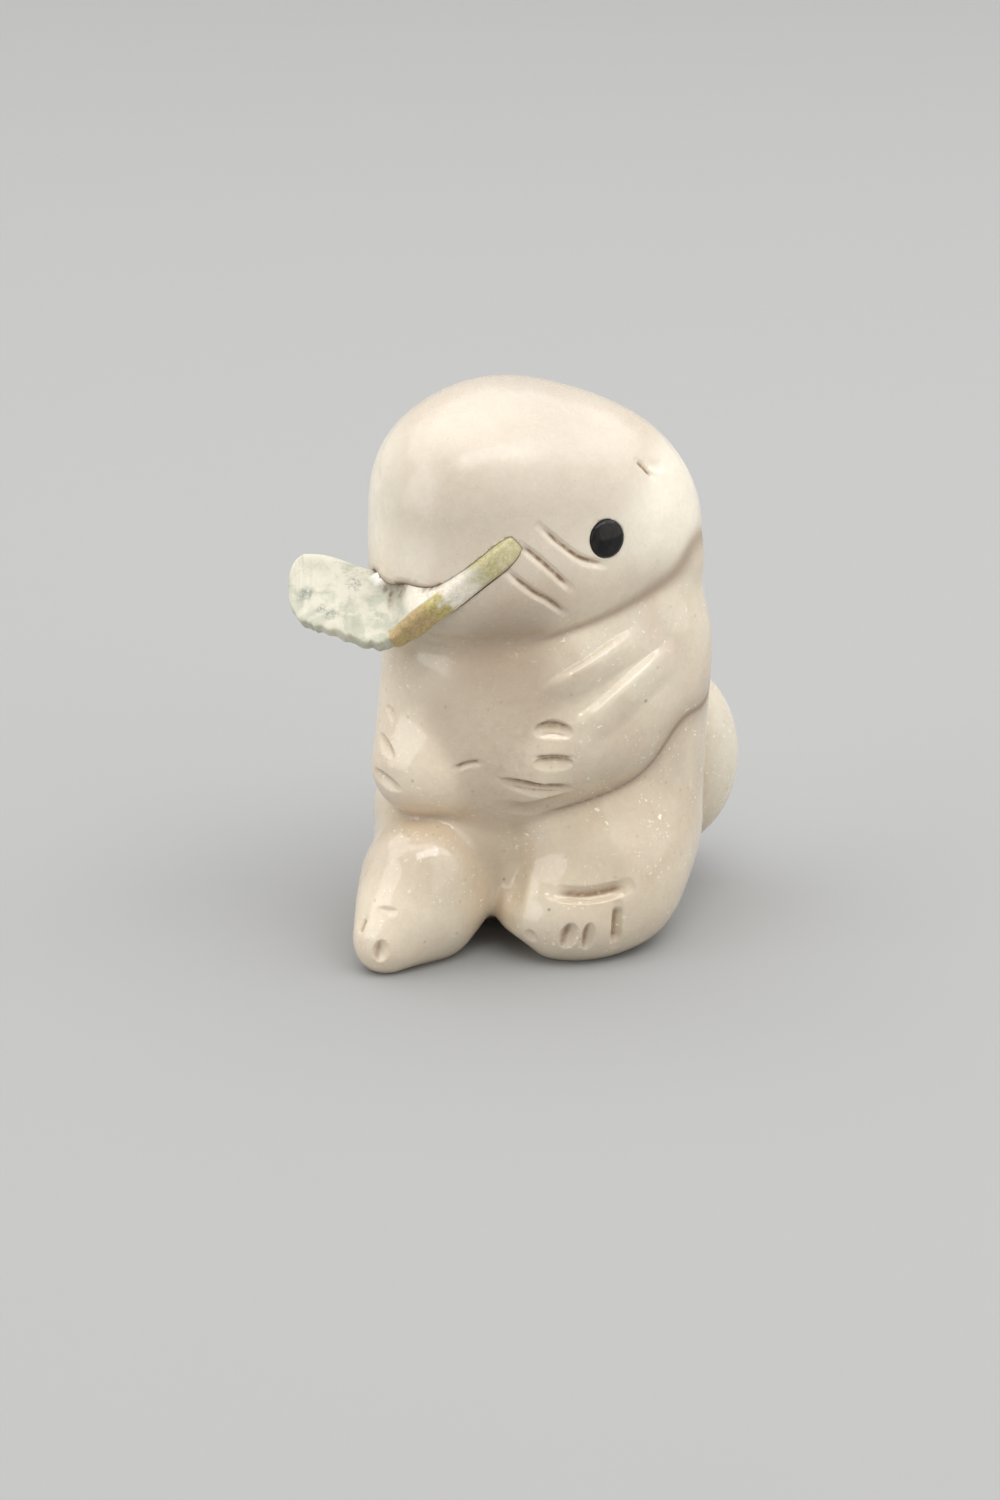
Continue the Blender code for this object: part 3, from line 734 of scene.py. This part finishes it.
def makeSkin():
    skin = roughFigure()
    for size, rounds in zip(skinSpec["grids"], skinSpec["rounds"]):
        voxelSkin(skin, size)
        setPoints(skin.data, settled(meshPoints(skin.data), rounds))
    wide = skinSpec["coarseMargin"]
    refine(skin.data, lambda p: nearCrease(p) | markReach(p, wide) | nearEyes(p))
    refine(skin.data, lambda p: markReach(p, skinSpec["markMargin"]))
    points = settled(meshPoints(skin.data), skinSpec["lastRounds"])
    depth, _ = markDepths(points)
    setPoints(skin.data, points - skinNormals(points) * depth[:, None])
    cutFlat(skin.data)
    return skin


otterSkin = makeSkin()
print("skin made:", len(otterSkin.data.polygons), "triangles")


def makeCutters():
    rings, _ = fishRings(slotSpec["gap"], slotSpec["stations"], slotSpec["sides"])
    cutters = [ringSolid(rings, "slot cutter")]
    radius, bevel = eyeSpec["radius"] + eyeSpec["gap"], eyeSpec["bevel"]
    for side in (1, -1):
        centre, axis = eyeFrame(side)
        profile = [(radius, -eyeSpec["length"] - 0.1), (radius, -0.05), (radius + bevel, bevel),
                   (radius + bevel, 2)]
        cutters.append(turnedSolid(profile, centre, axis, "socket cutter"))
    return cutters


for cutter in makeCutters():
    step = otterSkin.modifiers.new("Cut", "BOOLEAN")
    step.operation = "DIFFERENCE"
    step.solver = "EXACT"
    step.object = cutter
    bakeModifiers(otterSkin)
    bpy.data.objects.remove(cutter)
print("slot and sockets cut:", len(otterSkin.data.polygons))


# brown dirt in the slot and the seams, with painted shade in the seams and under the fish: widths of
# the lines, and their strengths
grimeAndShade = dict(stations=200, sides=40, slotWidth=0.22, slotReach=0.6, slotFrom=0.3,
             topRise=-0.2, slotShares=(1, 0.5, 0.15), lineWidth=0.17, lineFrom=5,
             parting=(0.1, 0.35), limbWidth=0.45, limbShare=0.43, tailWidth=0.25, tailShare=0.9,
             neckWidth=0.4, neckShare=0.2, cheekShare=0.55)
# painted shade in the hollow places: how finely the normals are felt, how far out the stone is sought,
# and how strong it is
hollowShadeSpec = dict(feel=0.3, reaches=(1.2, 2.5, 5), gain=2.2)
headSpan = dict(edge=0.6, low=32.5, high=37)


def falloff(distance, width):
    return np.exp(-(distance / width) ** 2)


def slotDirtAndShade(points):
    # dirt on the stone along the top of the fish, and painted shade along its underside
    sides = grimeAndShade["sides"]
    rings, marks = fishRings(slotSpec["gap"], grimeAndShade["stations"], sides)
    top, under, hidden = grimeAndShade["slotShares"]
    wall = [point for ring in rings for point in ring]
    faces = []
    for i in range(len(wall) - sides):
        beside = i - i % sides + (i + 1) % sides
        faces.append((i, beside, beside + sides, i + sides))
    tree = BVHTree.FromPolygons(wall, faces)
    dirtAndShade = np.zeros(len(points))
    for row in inBox(points, wall, grimeAndShade["slotReach"]):
        _, _, face, away = tree.find_nearest(Vector(points[row]))
        share, _, rise = marks[face]
        if share > grimeAndShade["slotFrom"] and rise > grimeAndShade["topRise"]:
            line = top
        else:
            line = under if rise < 0 else hidden
        dirtAndShade[row] = line * falloff(away, grimeAndShade["slotWidth"])
    return dirtAndShade


def markSkin(mesh):
    # stain in the cuts, and dirt with painted shade in the seams, for the material
    points = meshPoints(mesh)
    _, stain = markDepths(points)
    setAttribute(mesh, "stain", stain)
    limb, tail, neck = seamDistance(points)
    # dirt with painted shade: dark lines along the seams where the arms meet the legs, the tail the
    # body and the head the neck
    crisp = 1 - easeBetween(seams["chinFrom"], seams["chinTo"], points[:, 0])
    line = falloff(limb, grimeAndShade["lineWidth"]) * easeBetween(0, grimeAndShade["lineFrom"], points[:, 0])
    line = line * easeBetween(*grimeAndShade["parting"], limbParting(points))
    dirtAndShade = np.maximum(falloff(limb, grimeAndShade["limbWidth"]) * grimeAndShade["limbShare"], line)
    dirtAndShade = np.maximum(dirtAndShade, falloff(tail, grimeAndShade["tailWidth"]) * grimeAndShade["tailShare"])
    dirtAndShade = np.maximum(dirtAndShade, falloff(neck, grimeAndShade["neckWidth"])
                      * (grimeAndShade["neckShare"] + grimeAndShade["cheekShare"] * crisp))
    setAttribute(mesh, "dirtAndShade", np.maximum(dirtAndShade, slotDirtAndShade(points)))
    # painted shade: hollow places, where the stone closes in within a few millimetres, are marked to
    # be darkened and warmed in the colour
    normals = skinNormals(points, hollowShadeSpec["feel"])
    near = 0
    for reach in hollowShadeSpec["reaches"]:
        near = near + np.maximum(reach - figureDistance(points + normals * reach), 0) / reach
    near = near / len(hollowShadeSpec["reaches"])
    setAttribute(mesh, "hollow", np.clip(near * hollowShadeSpec["gain"], 0, 1))
    upper, lower, tail, head = bodyParts(points)
    body = np.minimum(np.minimum(upper, lower), tail)
    high = easeBetween(headSpan["low"], headSpan["high"], points[:, 2])
    setAttribute(mesh, "head", easeBetween(-headSpan["edge"], headSpan["edge"], body - head) * high)


markSkin(otterSkin.data)


# Geometry nodes: a skin worn and waved by hand
def newTree(name, sockets):
    tree = building["tree"] = bpy.data.node_groups.new(name, "GeometryNodeTree")
    tree.interface.new_socket("Geometry", in_out="INPUT", socket_type="NodeSocketGeometry")
    for label, kind, value in sockets:
        item = tree.interface.new_socket(label, in_out="INPUT", socket_type="NodeSocket" + kind)
        if value is not None:
            item.default_value = value
    tree.interface.new_socket("Geometry", in_out="OUTPUT", socket_type="NodeSocketGeometry")
    start = tree.nodes.new("NodeGroupInput")
    end = tree.nodes.new("NodeGroupOutput")
    return tree, start, end


def finishTree(geometry, material, end):
    real = addNode("GeometryNodeRealizeInstances", {"Geometry": geometry})
    coated = addNode("GeometryNodeSetMaterial",
                     {"Geometry": real.outputs[0], "Material": material})
    plugIn(end, {0: coated.outputs[0]})


def wornTree():
    tree, start, end = newTree("Hand-worn surface", [
        ("Wave height", "Float", 0.05), ("Wave size", "Float", 0.2),
        ("Grain height", "Float", 0.01), ("Grain size", "Float", 2.0),
        ("Material", "Material", None)])
    place = addNode("GeometryNodeInputPosition").outputs[0]
    normal = addNode("GeometryNodeInputNormal").outputs[0]
    waves = noise(place, start.outputs["Wave size"], 2)
    grain = noise(place, start.outputs["Grain size"], 3.0)
    height = compute("ADD", times(fromHalf(waves), start.outputs["Wave height"]),
                     times(fromHalf(grain), start.outputs["Grain height"]))
    # the skin stays flat at the underside
    height = times(height, mapRange(part(place, "XYZ", "Z"), 0, 1.5, smooth=False))
    offset = vector("SCALE", normal, height)
    moved = addNode("GeometryNodeSetPosition",
                    {"Geometry": start.outputs["Geometry"], "Offset": offset})
    finishTree(moved.outputs[0], start.outputs["Material"], end)
    return tree


def domeTree():
    # a peg with a domed face, turned from a grid: one way along its outline, one way round
    tree, start, end = newTree("Domed inlay", [
        ("Radius", "Float", 1.6), ("Length", "Float", 2.4), ("Dome", "Float", 0.5),
        ("Sides", "Int", 64), ("Material", "Material", None)])
    rows = 41
    grid = addNode("GeometryNodeMeshGrid", {"Size X": 1, "Size Y": 1, "Vertices X": rows,
                                            "Vertices Y": start.outputs["Sides"]})
    split = addNode("ShaderNodeSeparateXYZ", {0: addNode("GeometryNodeInputPosition").outputs[0]})
    along = compute("ADD", split.outputs["X"], 0.5)
    turn = times(compute("ADD", split.outputs["Y"], 0.5), 2 * pi)
    arc = mapRange(along, 0, 0.6, 0, pi / 2, smooth=False)
    foot = mapRange(along, 0.9, 1, 1, 0, smooth=False)
    reach = times(compute("SINE", arc), foot)
    reach = times(reach, start.outputs["Radius"])
    high = times(compute("COSINE", arc), start.outputs["Dome"])
    deep = times(mapRange(along, 0.6, 0.9, smooth=False), start.outputs["Length"])
    height = compute("SUBTRACT", high, deep)
    sideways = times(reach, compute("COSINE", turn))
    forward = times(reach, compute("SINE", turn))
    place = addNode("ShaderNodeCombineXYZ", {0: sideways, 1: forward, 2: height}).outputs[0]
    shaped = addNode("GeometryNodeSetPosition",
                     {"Geometry": grid.outputs["Mesh"], "Position": place})
    closed = addNode("GeometryNodeMergeByDistance",
                     {"Geometry": shaped.outputs[0], "Distance": 0.0005})
    smooth = addNode("GeometryNodeSetShadeSmooth", {"Geometry": closed.outputs[0]})
    finishTree(smooth.outputs[0], start.outputs["Material"], end)
    return tree


def runTree(item, tree, values):
    step = item.modifiers.new(tree.name, "NODES")
    step.node_group = tree
    sockets = {s.name: s.identifier for s in tree.interface.items_tree if s.in_out == "INPUT"}
    for label, value in values.items():
        step[sockets[label]] = value
    bakeModifiers(item)


# Materials
creamLook = dict(
    pale=(0.7, 0.615, 0.475), warm=(0.6, 0.5, 0.375), rosy=(0.66, 0.55, 0.43),
    cool=(0.63, 0.58, 0.46), fleck=(0.94, 0.9, 0.8), tan=(0.5, 0.37, 0.24),
    # the last tint on the next line is painted shade, laid into the hollow places
    head=(0.86, 0.79, 0.655), tail=(0.74, 0.7, 0.58), hollowShade=(0.92, 0.82, 0.7),
    # painted light and shade: the tints on this line and the next, laid on by the spots below
    paintedLight=(0.88, 0.76, 0.59), paintedHeadLight=(0.9, 0.825, 0.69), crown=(0.66, 0.62, 0.54),
    shade=(0.55, 0.435, 0.31),
    speck=(0.16, 0.14, 0.13), brown=(0.3, 0.19, 0.11), dirtAndShade=(0.3, 0.21, 0.14))
# painted light and shade: places made paler where the lamps leave them too dark, and darker where they
# light them too much; middle in millimetres, radius, strength and tint
paintedLightSpots = [((-3, -10, 18.5), 12, 1, "paintedLight"), ((1, 1, 50), 11, 0.9, "crown"),
             ((-1, -10.5, 28.8), 5.5, 0.75, "shade"), ((8.5, -9, 8), 11, 0.55, "shade"),
             ((-8, -11, 8), 6, 0.35, "shade"), ((-10.5, -12, 4), 7, 0.9, "paintedLight"),
             ((-10, -5, 21.5), 7, 0.8, "paintedLight"), ((-5, -10, 37), 8, 0.8, "paintedHeadLight"),
             ((15, -4, 37), 7, 0.8, "paintedHeadLight")]
# small dark specks: place in millimetres and radius
darkSpecks = [((3.2, -9.42, 27.27), 0.2), ((-0.1, -10.5, 24.7), 0.3), ((11.26, -7.3, 22.8), 0.24),
              ((-3, -8.8, 10), 0.18), ((-0.85, -8, 6.6), 0.22), ((3, -12.15, 5.5), 0.22),
              ((5.1, -7.3, 42.5), 0.12), ((-4.3, -10.15, 16.9), 0.18)]


def creamStone():
    material, shader = newMaterial("cream_stone")
    place = millimetres()
    look = creamLook
    large = noiseRange(place, (0.09, 3, 0.55, 0.6), 0.38, 0.62)
    colour = mixColour(large, look["warm"], look["pale"])
    # the head and the tail are paler, the belly browner
    colour = painted(
        colour, look, (noiseRange(place, (0.16, 2), 0.5, 0.68, 0, 0.6), "rosy"),
        (noiseRange(place, (0.42, 4, 0.6, 0.3), 0.45, 0.7, 0, 0.35), "cool"),
        (times(attribute("head"), noiseRange(place, (0.22, 3), 0.3, 0.7, 0.75, 1)), "head"),
        (times(spot(place, (17, 11, 13), 9, 0.8), 0.7), "tail"))
    # painted light and shade: some places are lightened and others darkened in place of the light that
    # falls there
    for at, radius, share, tint in paintedLightSpots:
        colour = painted(colour, look, (times(spot(place, at, radius, 1), share), tint))
    chest = times(spot(place, (-0.5, -10.5, 20), 8, 1),
                  noiseRange(place, (0.8, 4, 0.65), 0.45, 0.7, 0, 0.35))
    colour = painted(colour, look, (chest, "tan"))
    # painted shade: the hollow places are darkened and warmed
    colour = mixColour(times(attribute("hollow"), 0.4), colour, look["hollowShade"], "MULTIPLY")
    # fine mottling and faint wisps all over
    mottle = noiseRange(place, (1.1, 5, 0.68, 0.8), 0.36, 0.64, 0.97, 1.02)
    wisp = compute("ABSOLUTE", fromHalf(noise(place, 0.6, 4, 0.62, 2.2)))
    mottle = times(mottle, mapRange(wisp, 0, 0.03, 0.955, 1))
    mottle = addNode("ShaderNodeCombineColor", {0: mottle, 1: mottle, 2: mottle}).outputs[0]
    colour = mixColour(1, colour, mottle, "MULTIPLY")
    # flecks lie thickest on the chest and the legs
    height = part(place, "XYZ", "Z")
    onBody = mapRange(height, 36, 27, 0.25, 1)
    crowd = times(noiseRange(place, (0.3, 2), 0.4, 0.6), onBody)
    wander = addNode("ShaderNodeTexNoise", {"Vector": place, "Scale": 1.6, "Detail": 3})
    loose = vector("ADD", place, vector("SCALE", wander.outputs["Color"], 0.9))
    flecks = None
    for size, stretch, share in ((1.3, (1, 1, 1.7), 0.74), (2.5, (1.5, 1, 1), 0.66)):
        bent = vector("MULTIPLY", loose, stretch)
        cells = addNode("ShaderNodeTexVoronoi",
                        {"Vector": bent, "Scale": size, "Randomness": 1})
        pick = part(cells.outputs["Color"], "Color", 0)
        chosen = mapRange(pick, share, 1, smooth=False)
        near = mapRange(cells.outputs["Distance"], 0.36, 0.12)
        one = times(chosen, near)
        flecks = one if flecks is None else compute("MAXIMUM", flecks, one)
    flecks = times(flecks, crowd)
    colour = painted(colour, look, (times(flecks, 0.85), "fleck"))
    tanCells = addNode("ShaderNodeTexVoronoi", {"Vector": place, "Scale": 1.1})
    pick = part(tanCells.outputs["Color"], "Color", 1)
    tan = times(compute("GREATER_THAN", pick, 0.86),
                mapRange(tanCells.outputs["Distance"], 0.26, 0.08, 0, 0.5))
    colour = painted(colour, look, (times(tan, onBody), "tan"))
    for at, radius in darkSpecks:
        colour = painted(colour, look, (times(spot(place, at, radius, 0.8), 0.6), "speck"))
    patchy = noiseRange(place, (2.4, 3), 0.3, 0.6, 0.55, 1)
    stain = times(mapRange(attribute("stain"), 0.1, 0.75), patchy)
    # brown stain in the cuts, and dirt with painted shade in the seams and the slot
    dirtAndShade = attribute("dirtAndShade")
    colour = painted(colour, look, (stain, "brown"), (dirtAndShade, "dirtAndShade"))
    # polished where it is touched, dull in the cuts
    gloss = noiseRange(place, (0.7, 3), 0.35, 0.65, 0.07, 0.12)
    dull = compute("MAXIMUM", stain, dirtAndShade)
    gloss = compute("ADD", gloss, times(dull, 0.4))
    grain = noise(place, 6, 4, 0.6)
    height = compute("SUBTRACT", times(grain, 0.5), times(flecks, 0.3))
    scratch = vector("MULTIPLY", place, (0.25, 0.25, 3))
    height = compute("ADD", height, times(noise(scratch, 1.6, 2), 0.35))
    finishShader(shader, colour, gloss, height, 0.025, 0.00002, {
        "Subsurface Weight": 0.12, "Subsurface Radius": (1, 0.7, 0.45),
        "Subsurface Scale": 0.0012, "IOR": 1.58, "Specular IOR Level": 0.6})
    return material


greenLook = dict(
    white=(0.61, 0.58, 0.47), green=(0.46, 0.455, 0.36), vein=(0.15, 0.17, 0.15),
    pale=(0.82, 0.79, 0.69), olive=(0.45, 0.39, 0.18), rosy=(0.68, 0.56, 0.43),
    yellow=(0.5, 0.43, 0.15), grey=(0.5, 0.53, 0.5), brown=(0.48, 0.345, 0.17),
    dirtAndShade=(0.17, 0.095, 0.045), umber=(0.26, 0.19, 0.09), glue=(0.88, 0.86, 0.78))
# darker grey places on the fan: middle in millimetres and radius
greyMarks = [((-17.6, -7.8, 32.6), 1.1), ((-15.4, -10.4, 31.8), 1), ((-16.3, -9.6, 32), 0.8),
             ((-9.6, -9.8, 33.8), 1.3), ((-13.5, -7.6, 33.4), 1), ((-11.6, -10.8, 32), 0.9)]


def greenStone():
    material, shader = newMaterial("green_stone")
    place = millimetres()
    look = greenLook
    along, side = attribute("along"), attribute("side")
    # cream towards its far edge, greener towards the near one
    cloud = compute("SUBTRACT", noise(place, 0.5, 4, 0.6, 0.8), times(side, 0.07))
    colour = mixColour(mapRange(cloud, 0.42, 0.64), look["white"], look["green"])
    # speckled rosy and grey middle
    speckle = noise(place, 3.4, 4, 0.75)
    mid = times(mapRange(along, 0.16, 0.24), mapRange(along, 0.5, 0.4))
    rosy = mixColour(mapRange(speckle, 0.4, 0.62, 0.25, 1), look["rosy"], look["pale"])
    rosy = mixColour(noiseRange(place, (1.7, 4, 0.7), 0.55, 0.66, 0, 0.8), rosy, look["grey"])
    colour = mixColour(mid, colour, rosy)
    # olive tip
    edge = compute("ADD", along, times(fromHalf(noise(place, 1.1)), 0.16))
    tip = mapRange(edge, 0.22, 0.15)
    olive = mixColour(mapRange(speckle, 0.4, 0.68, 0, 0.4), look["olive"], look["pale"])
    colour = mixColour(tip, colour, olive)
    # olive and brown patch on the near face
    patch = times(mapRange(edge, 0.3, 0.35), mapRange(along, 0.562, 0.552))
    patch = times(patch, mapRange(side, -0.7, -0.8))
    stained = times(mapRange(edge, 0.34, 0.41),
                    noiseRange(place, (1.3, 4, 0.65), 0.36, 0.56, 0.35, 1))
    brown = mixColour(stained, look["yellow"], look["brown"])
    brown = mixColour(mapRange(speckle, 0.42, 0.64, 0, 0.6), brown, look["umber"])
    colour = mixColour(patch, colour, brown)
    # grey-green veins along the fan
    flow = vector("MULTIPLY", place, (0.5, 1, 1.6))
    veins = compute("ABSOLUTE", fromHalf(noise(flow, 0.9, 5, 0.7, 1.8)))
    veins = times(mapRange(veins, 0.05, 0), mapRange(along, 0.5, 0.62))
    ragged = noiseRange(place, (1.6, 5, 0.7, 1), 0.44, 0.56)
    grey = None
    for at, radius in greyMarks:
        one = spot(place, at, radius, 0.7)
        grey = one if grey is None else compute("MAXIMUM", grey, one)
    grey = times(grey, 0.6)
    patches = noiseRange(place, (0.55, 2), 0.48, 0.62, 0, 0.35)
    veins = times(veins, compute("MAXIMUM", patches, grey))
    # dirt with painted shade along the line where the fish leaves the stone
    dirtAndShade = times(attribute("dirtAndShade"), noiseRange(place, (2, 3), 0.3, 0.55, 0.4, 1))
    glue = times(attribute("glue"), noiseRange(place, (1.5, 3), 0.3, 0.45))
    colour = painted(colour, look, (times(grey, ragged), "vein"), (times(veins, 0.75), "vein"),
                     (dirtAndShade, "dirtAndShade"), (glue, "glue"))
    gloss = noiseRange(place, (1.2, 3), 0.35, 0.65, 0.36, 0.62)
    grain = noise(place, 4, 5, 0.65)
    height = compute("SUBTRACT", grain, times(veins, 0.5))
    finishShader(shader, colour, gloss, height, 0.35, 0.0001, {
        "Subsurface Weight": 0.15, "Subsurface Radius": (1, 1, 0.6), "Subsurface Scale": 0.0015})
    return material


def blackInlay():
    material, shader = newMaterial("black_inlay")
    place = millimetres()
    cloud = noiseRange(place, (1.5, 4), 0.35, 0.7)
    colour = mixColour(cloud, (0.006, 0.006, 0.007), (0.018, 0.015, 0.012))
    fine = noise(place, 9, 3)
    gloss = mapRange(fine, 0.3, 0.7, 0.07, 0.16)
    finishShader(shader, colour, gloss, fine, 0.06, 0.00003, {"Specular IOR Level": 0.25})
    return material


creamMaterial, greenMaterial, blackMaterial = creamStone(), greenStone(), blackInlay()
print("materials made")

worn = wornTree()
runTree(otterSkin, worn, {"Wave height": 0.1, "Wave size": 0.22, "Grain height": 0.0,
                          "Grain size": 2.4, "Material": creamMaterial})
otterSkin.data.shade_smooth()
toFrame(otterSkin)


glueSpec = dict(at=(-11.35, -7.75, 33.95), size=(1.3, 1, 0.7), core=0.6, height=0.3,
                rise=(0, -0.2, 1))
# dirt with painted shade along the fish's edge: width, and where it lies above and below
fishGrimeAndShade = dict(width=0.17, above=(0.28, 0.33), below=(0.06, 0.12), belowShare=0.8)


def makeFish():
    rings, marks = fishRings(0, fishShape["stations"], fishShape["sides"])
    fish = ringSolid(rings, "mouthFish")
    marks = np.vstack([marks, [(0, 0, 0), (1, 0, 0)]])   # and the two poles
    for column, name in enumerate(("along", "side")):
        setAttribute(fish.data, name, marks[:, column])
    # a bead of white glue where it leaves the cheek
    points = meshPoints(fish.data)
    near = norm((points - np.array(glueSpec["at"])) / np.array(glueSpec["size"]), axis=1)
    glue = easeBetween(1, glueSpec["core"], near)
    setAttribute(fish.data, "glue", glue)
    lift = np.array(glueSpec["rise"]) * glueSpec["height"] * glue[:, None]
    setPoints(fish.data, points + lift)
    # brown dirt along the line where it leaves the stone, with painted shade under it
    away = figureDistance(meshPoints(fish.data))
    along, rise = marks[:, 0], marks[:, 2]
    above = easeBetween(*fishGrimeAndShade["above"], along) * (rise > grimeAndShade["topRise"])
    below = easeBetween(*fishGrimeAndShade["below"], along) * (rise < 0) * fishGrimeAndShade["belowShare"]
    dirtAndShade = falloff(away, fishGrimeAndShade["width"]) * np.maximum(above, below)
    setAttribute(fish.data, "dirtAndShade", dirtAndShade)
    return fish


mouthFish = makeFish()
runTree(mouthFish, worn, {"Wave height": 0.04, "Wave size": 0.5, "Grain height": 0.02,
                          "Grain size": 1.6, "Material": greenMaterial})
mouthFish.data.shade_smooth()
toFrame(mouthFish)

eyes = []
dome = domeTree()
for side, name in ((1, "eyeLeft"), (-1, "eyeRight")):
    centre, axis = eyeFrame(side)
    eye = newObject(name, bpy.data.meshes.new(name))
    runTree(eye, dome, {"Radius": eyeSpec["radius"], "Length": eyeSpec["length"],
                        "Dome": eyeSpec["dome"], "Sides": eyeSpec["sides"],
                        "Material": blackMaterial})
    turn = axis.to_track_quat("Z", "Y").to_matrix().to_4x4()
    eye.data.transform(Matrix.Translation(centre) @ turn)
    toFrame(eye)
    eyes.append(eye)
print("pieces made")

for item, node, slot in ((otterSkin, "otter_body", "cream_stone"), (mouthFish, "fish", "green_stone"),
                         (eyes[0], "eye_left", "black_inlay"), (eyes[1], "eye_right", "black_inlay")):
    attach(item, "root")
    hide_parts(node)


# Studio: a pale floor, soft lamps overhead and at both sides, an even soft room
studio = dict(floorSize=6, floorColour=(0.35, 0.35, 0.347), floorShade=0.985, roomLight=0.53,
              aim=(0, 0, 0.02),
              lamps=[dict(name="Overhead softbox", at=(-0.02, 0.22, 0.5), size=(1.45, 0.75),
                          aim=(-0.02, 0.22, 0), power=5),
                     dict(name="Left softbox", at=(-0.85, -0.45, 0.28), size=(0.9, 1),
                          shape="ELLIPSE", power=3.4),
                     dict(name="Right softbox", at=(0.95, -0.35, 0.55), size=(1.7, 1.3), power=5.2),
                     dict(name="Strip light", at=(0.1, -0.25, 0.52), size=(0.5, 0.17), power=1)])


def makeFloor():
    mesh = bpy.data.meshes.new("floor")
    half = studio["floorSize"] / 2
    corners = [(-half, -half, 0), (half, -half, 0), (half, half, 0), (-half, half, 0)]
    mesh.from_pydata(corners, [], [(0, 1, 2, 3)])
    floor = newObject("floor", mesh)
    material, shader = newMaterial("floor")
    coords = addNode("ShaderNodeTexCoord").outputs["Object"]
    fine = noise(coords, 60, 3)
    low = tuple(c * studio["floorShade"] for c in studio["floorColour"])
    colour = mixColour(fine, low, studio["floorColour"])
    gloss = mapRange(fine, 0.3, 0.7, 0.85, 0.95)
    finishShader(shader, colour, gloss, fine, 0.05, 0.0001, {})
    mesh.materials.append(material)


def makeLights():
    world = bpy.data.worlds.new("Soft room")
    world.use_nodes = True
    back = world.node_tree.nodes["Background"]
    back.inputs["Color"].default_value = (1, 1, 1, 1)
    back.inputs["Strength"].default_value = studio["roomLight"]
    scene.world = world
    for lamp in studio["lamps"]:
        light = bpy.data.lights.new(lamp["name"], "AREA")
        light.shape = lamp.get("shape", "RECTANGLE")
        light.size, light.size_y = lamp["size"]
        light.energy = lamp["power"]
        item = newObject(lamp["name"], light)
        item.location = lamp["at"]
        away = Vector(lamp["at"]) - Vector(lamp.get("aim", studio["aim"]))
        item.rotation_euler = away.to_track_quat("Z", "Y").to_euler()


makeFloor()
makeLights()

# Camera at the photograph's angle
view = dict(target=(-0.001761, 0.000218, 0.0155), elevation=21, distance=0.4, lens=109.82)
camera = bpy.data.cameras.new("Camera")
camera.lens = view["lens"]
camera.sensor_width = 36
camera.clip_start = 0.01
cameraObject = newObject("Camera", camera)
rise = radians(view["elevation"])
cameraObject.location = Vector(view["target"]) + Vector((0, -cos(rise), sin(rise))) * view["distance"]
cameraObject.rotation_euler = (pi / 2 - rise, 0, 0)
scene.camera = cameraObject
scene.view_settings.view_transform = "Standard"
print("studio ready")
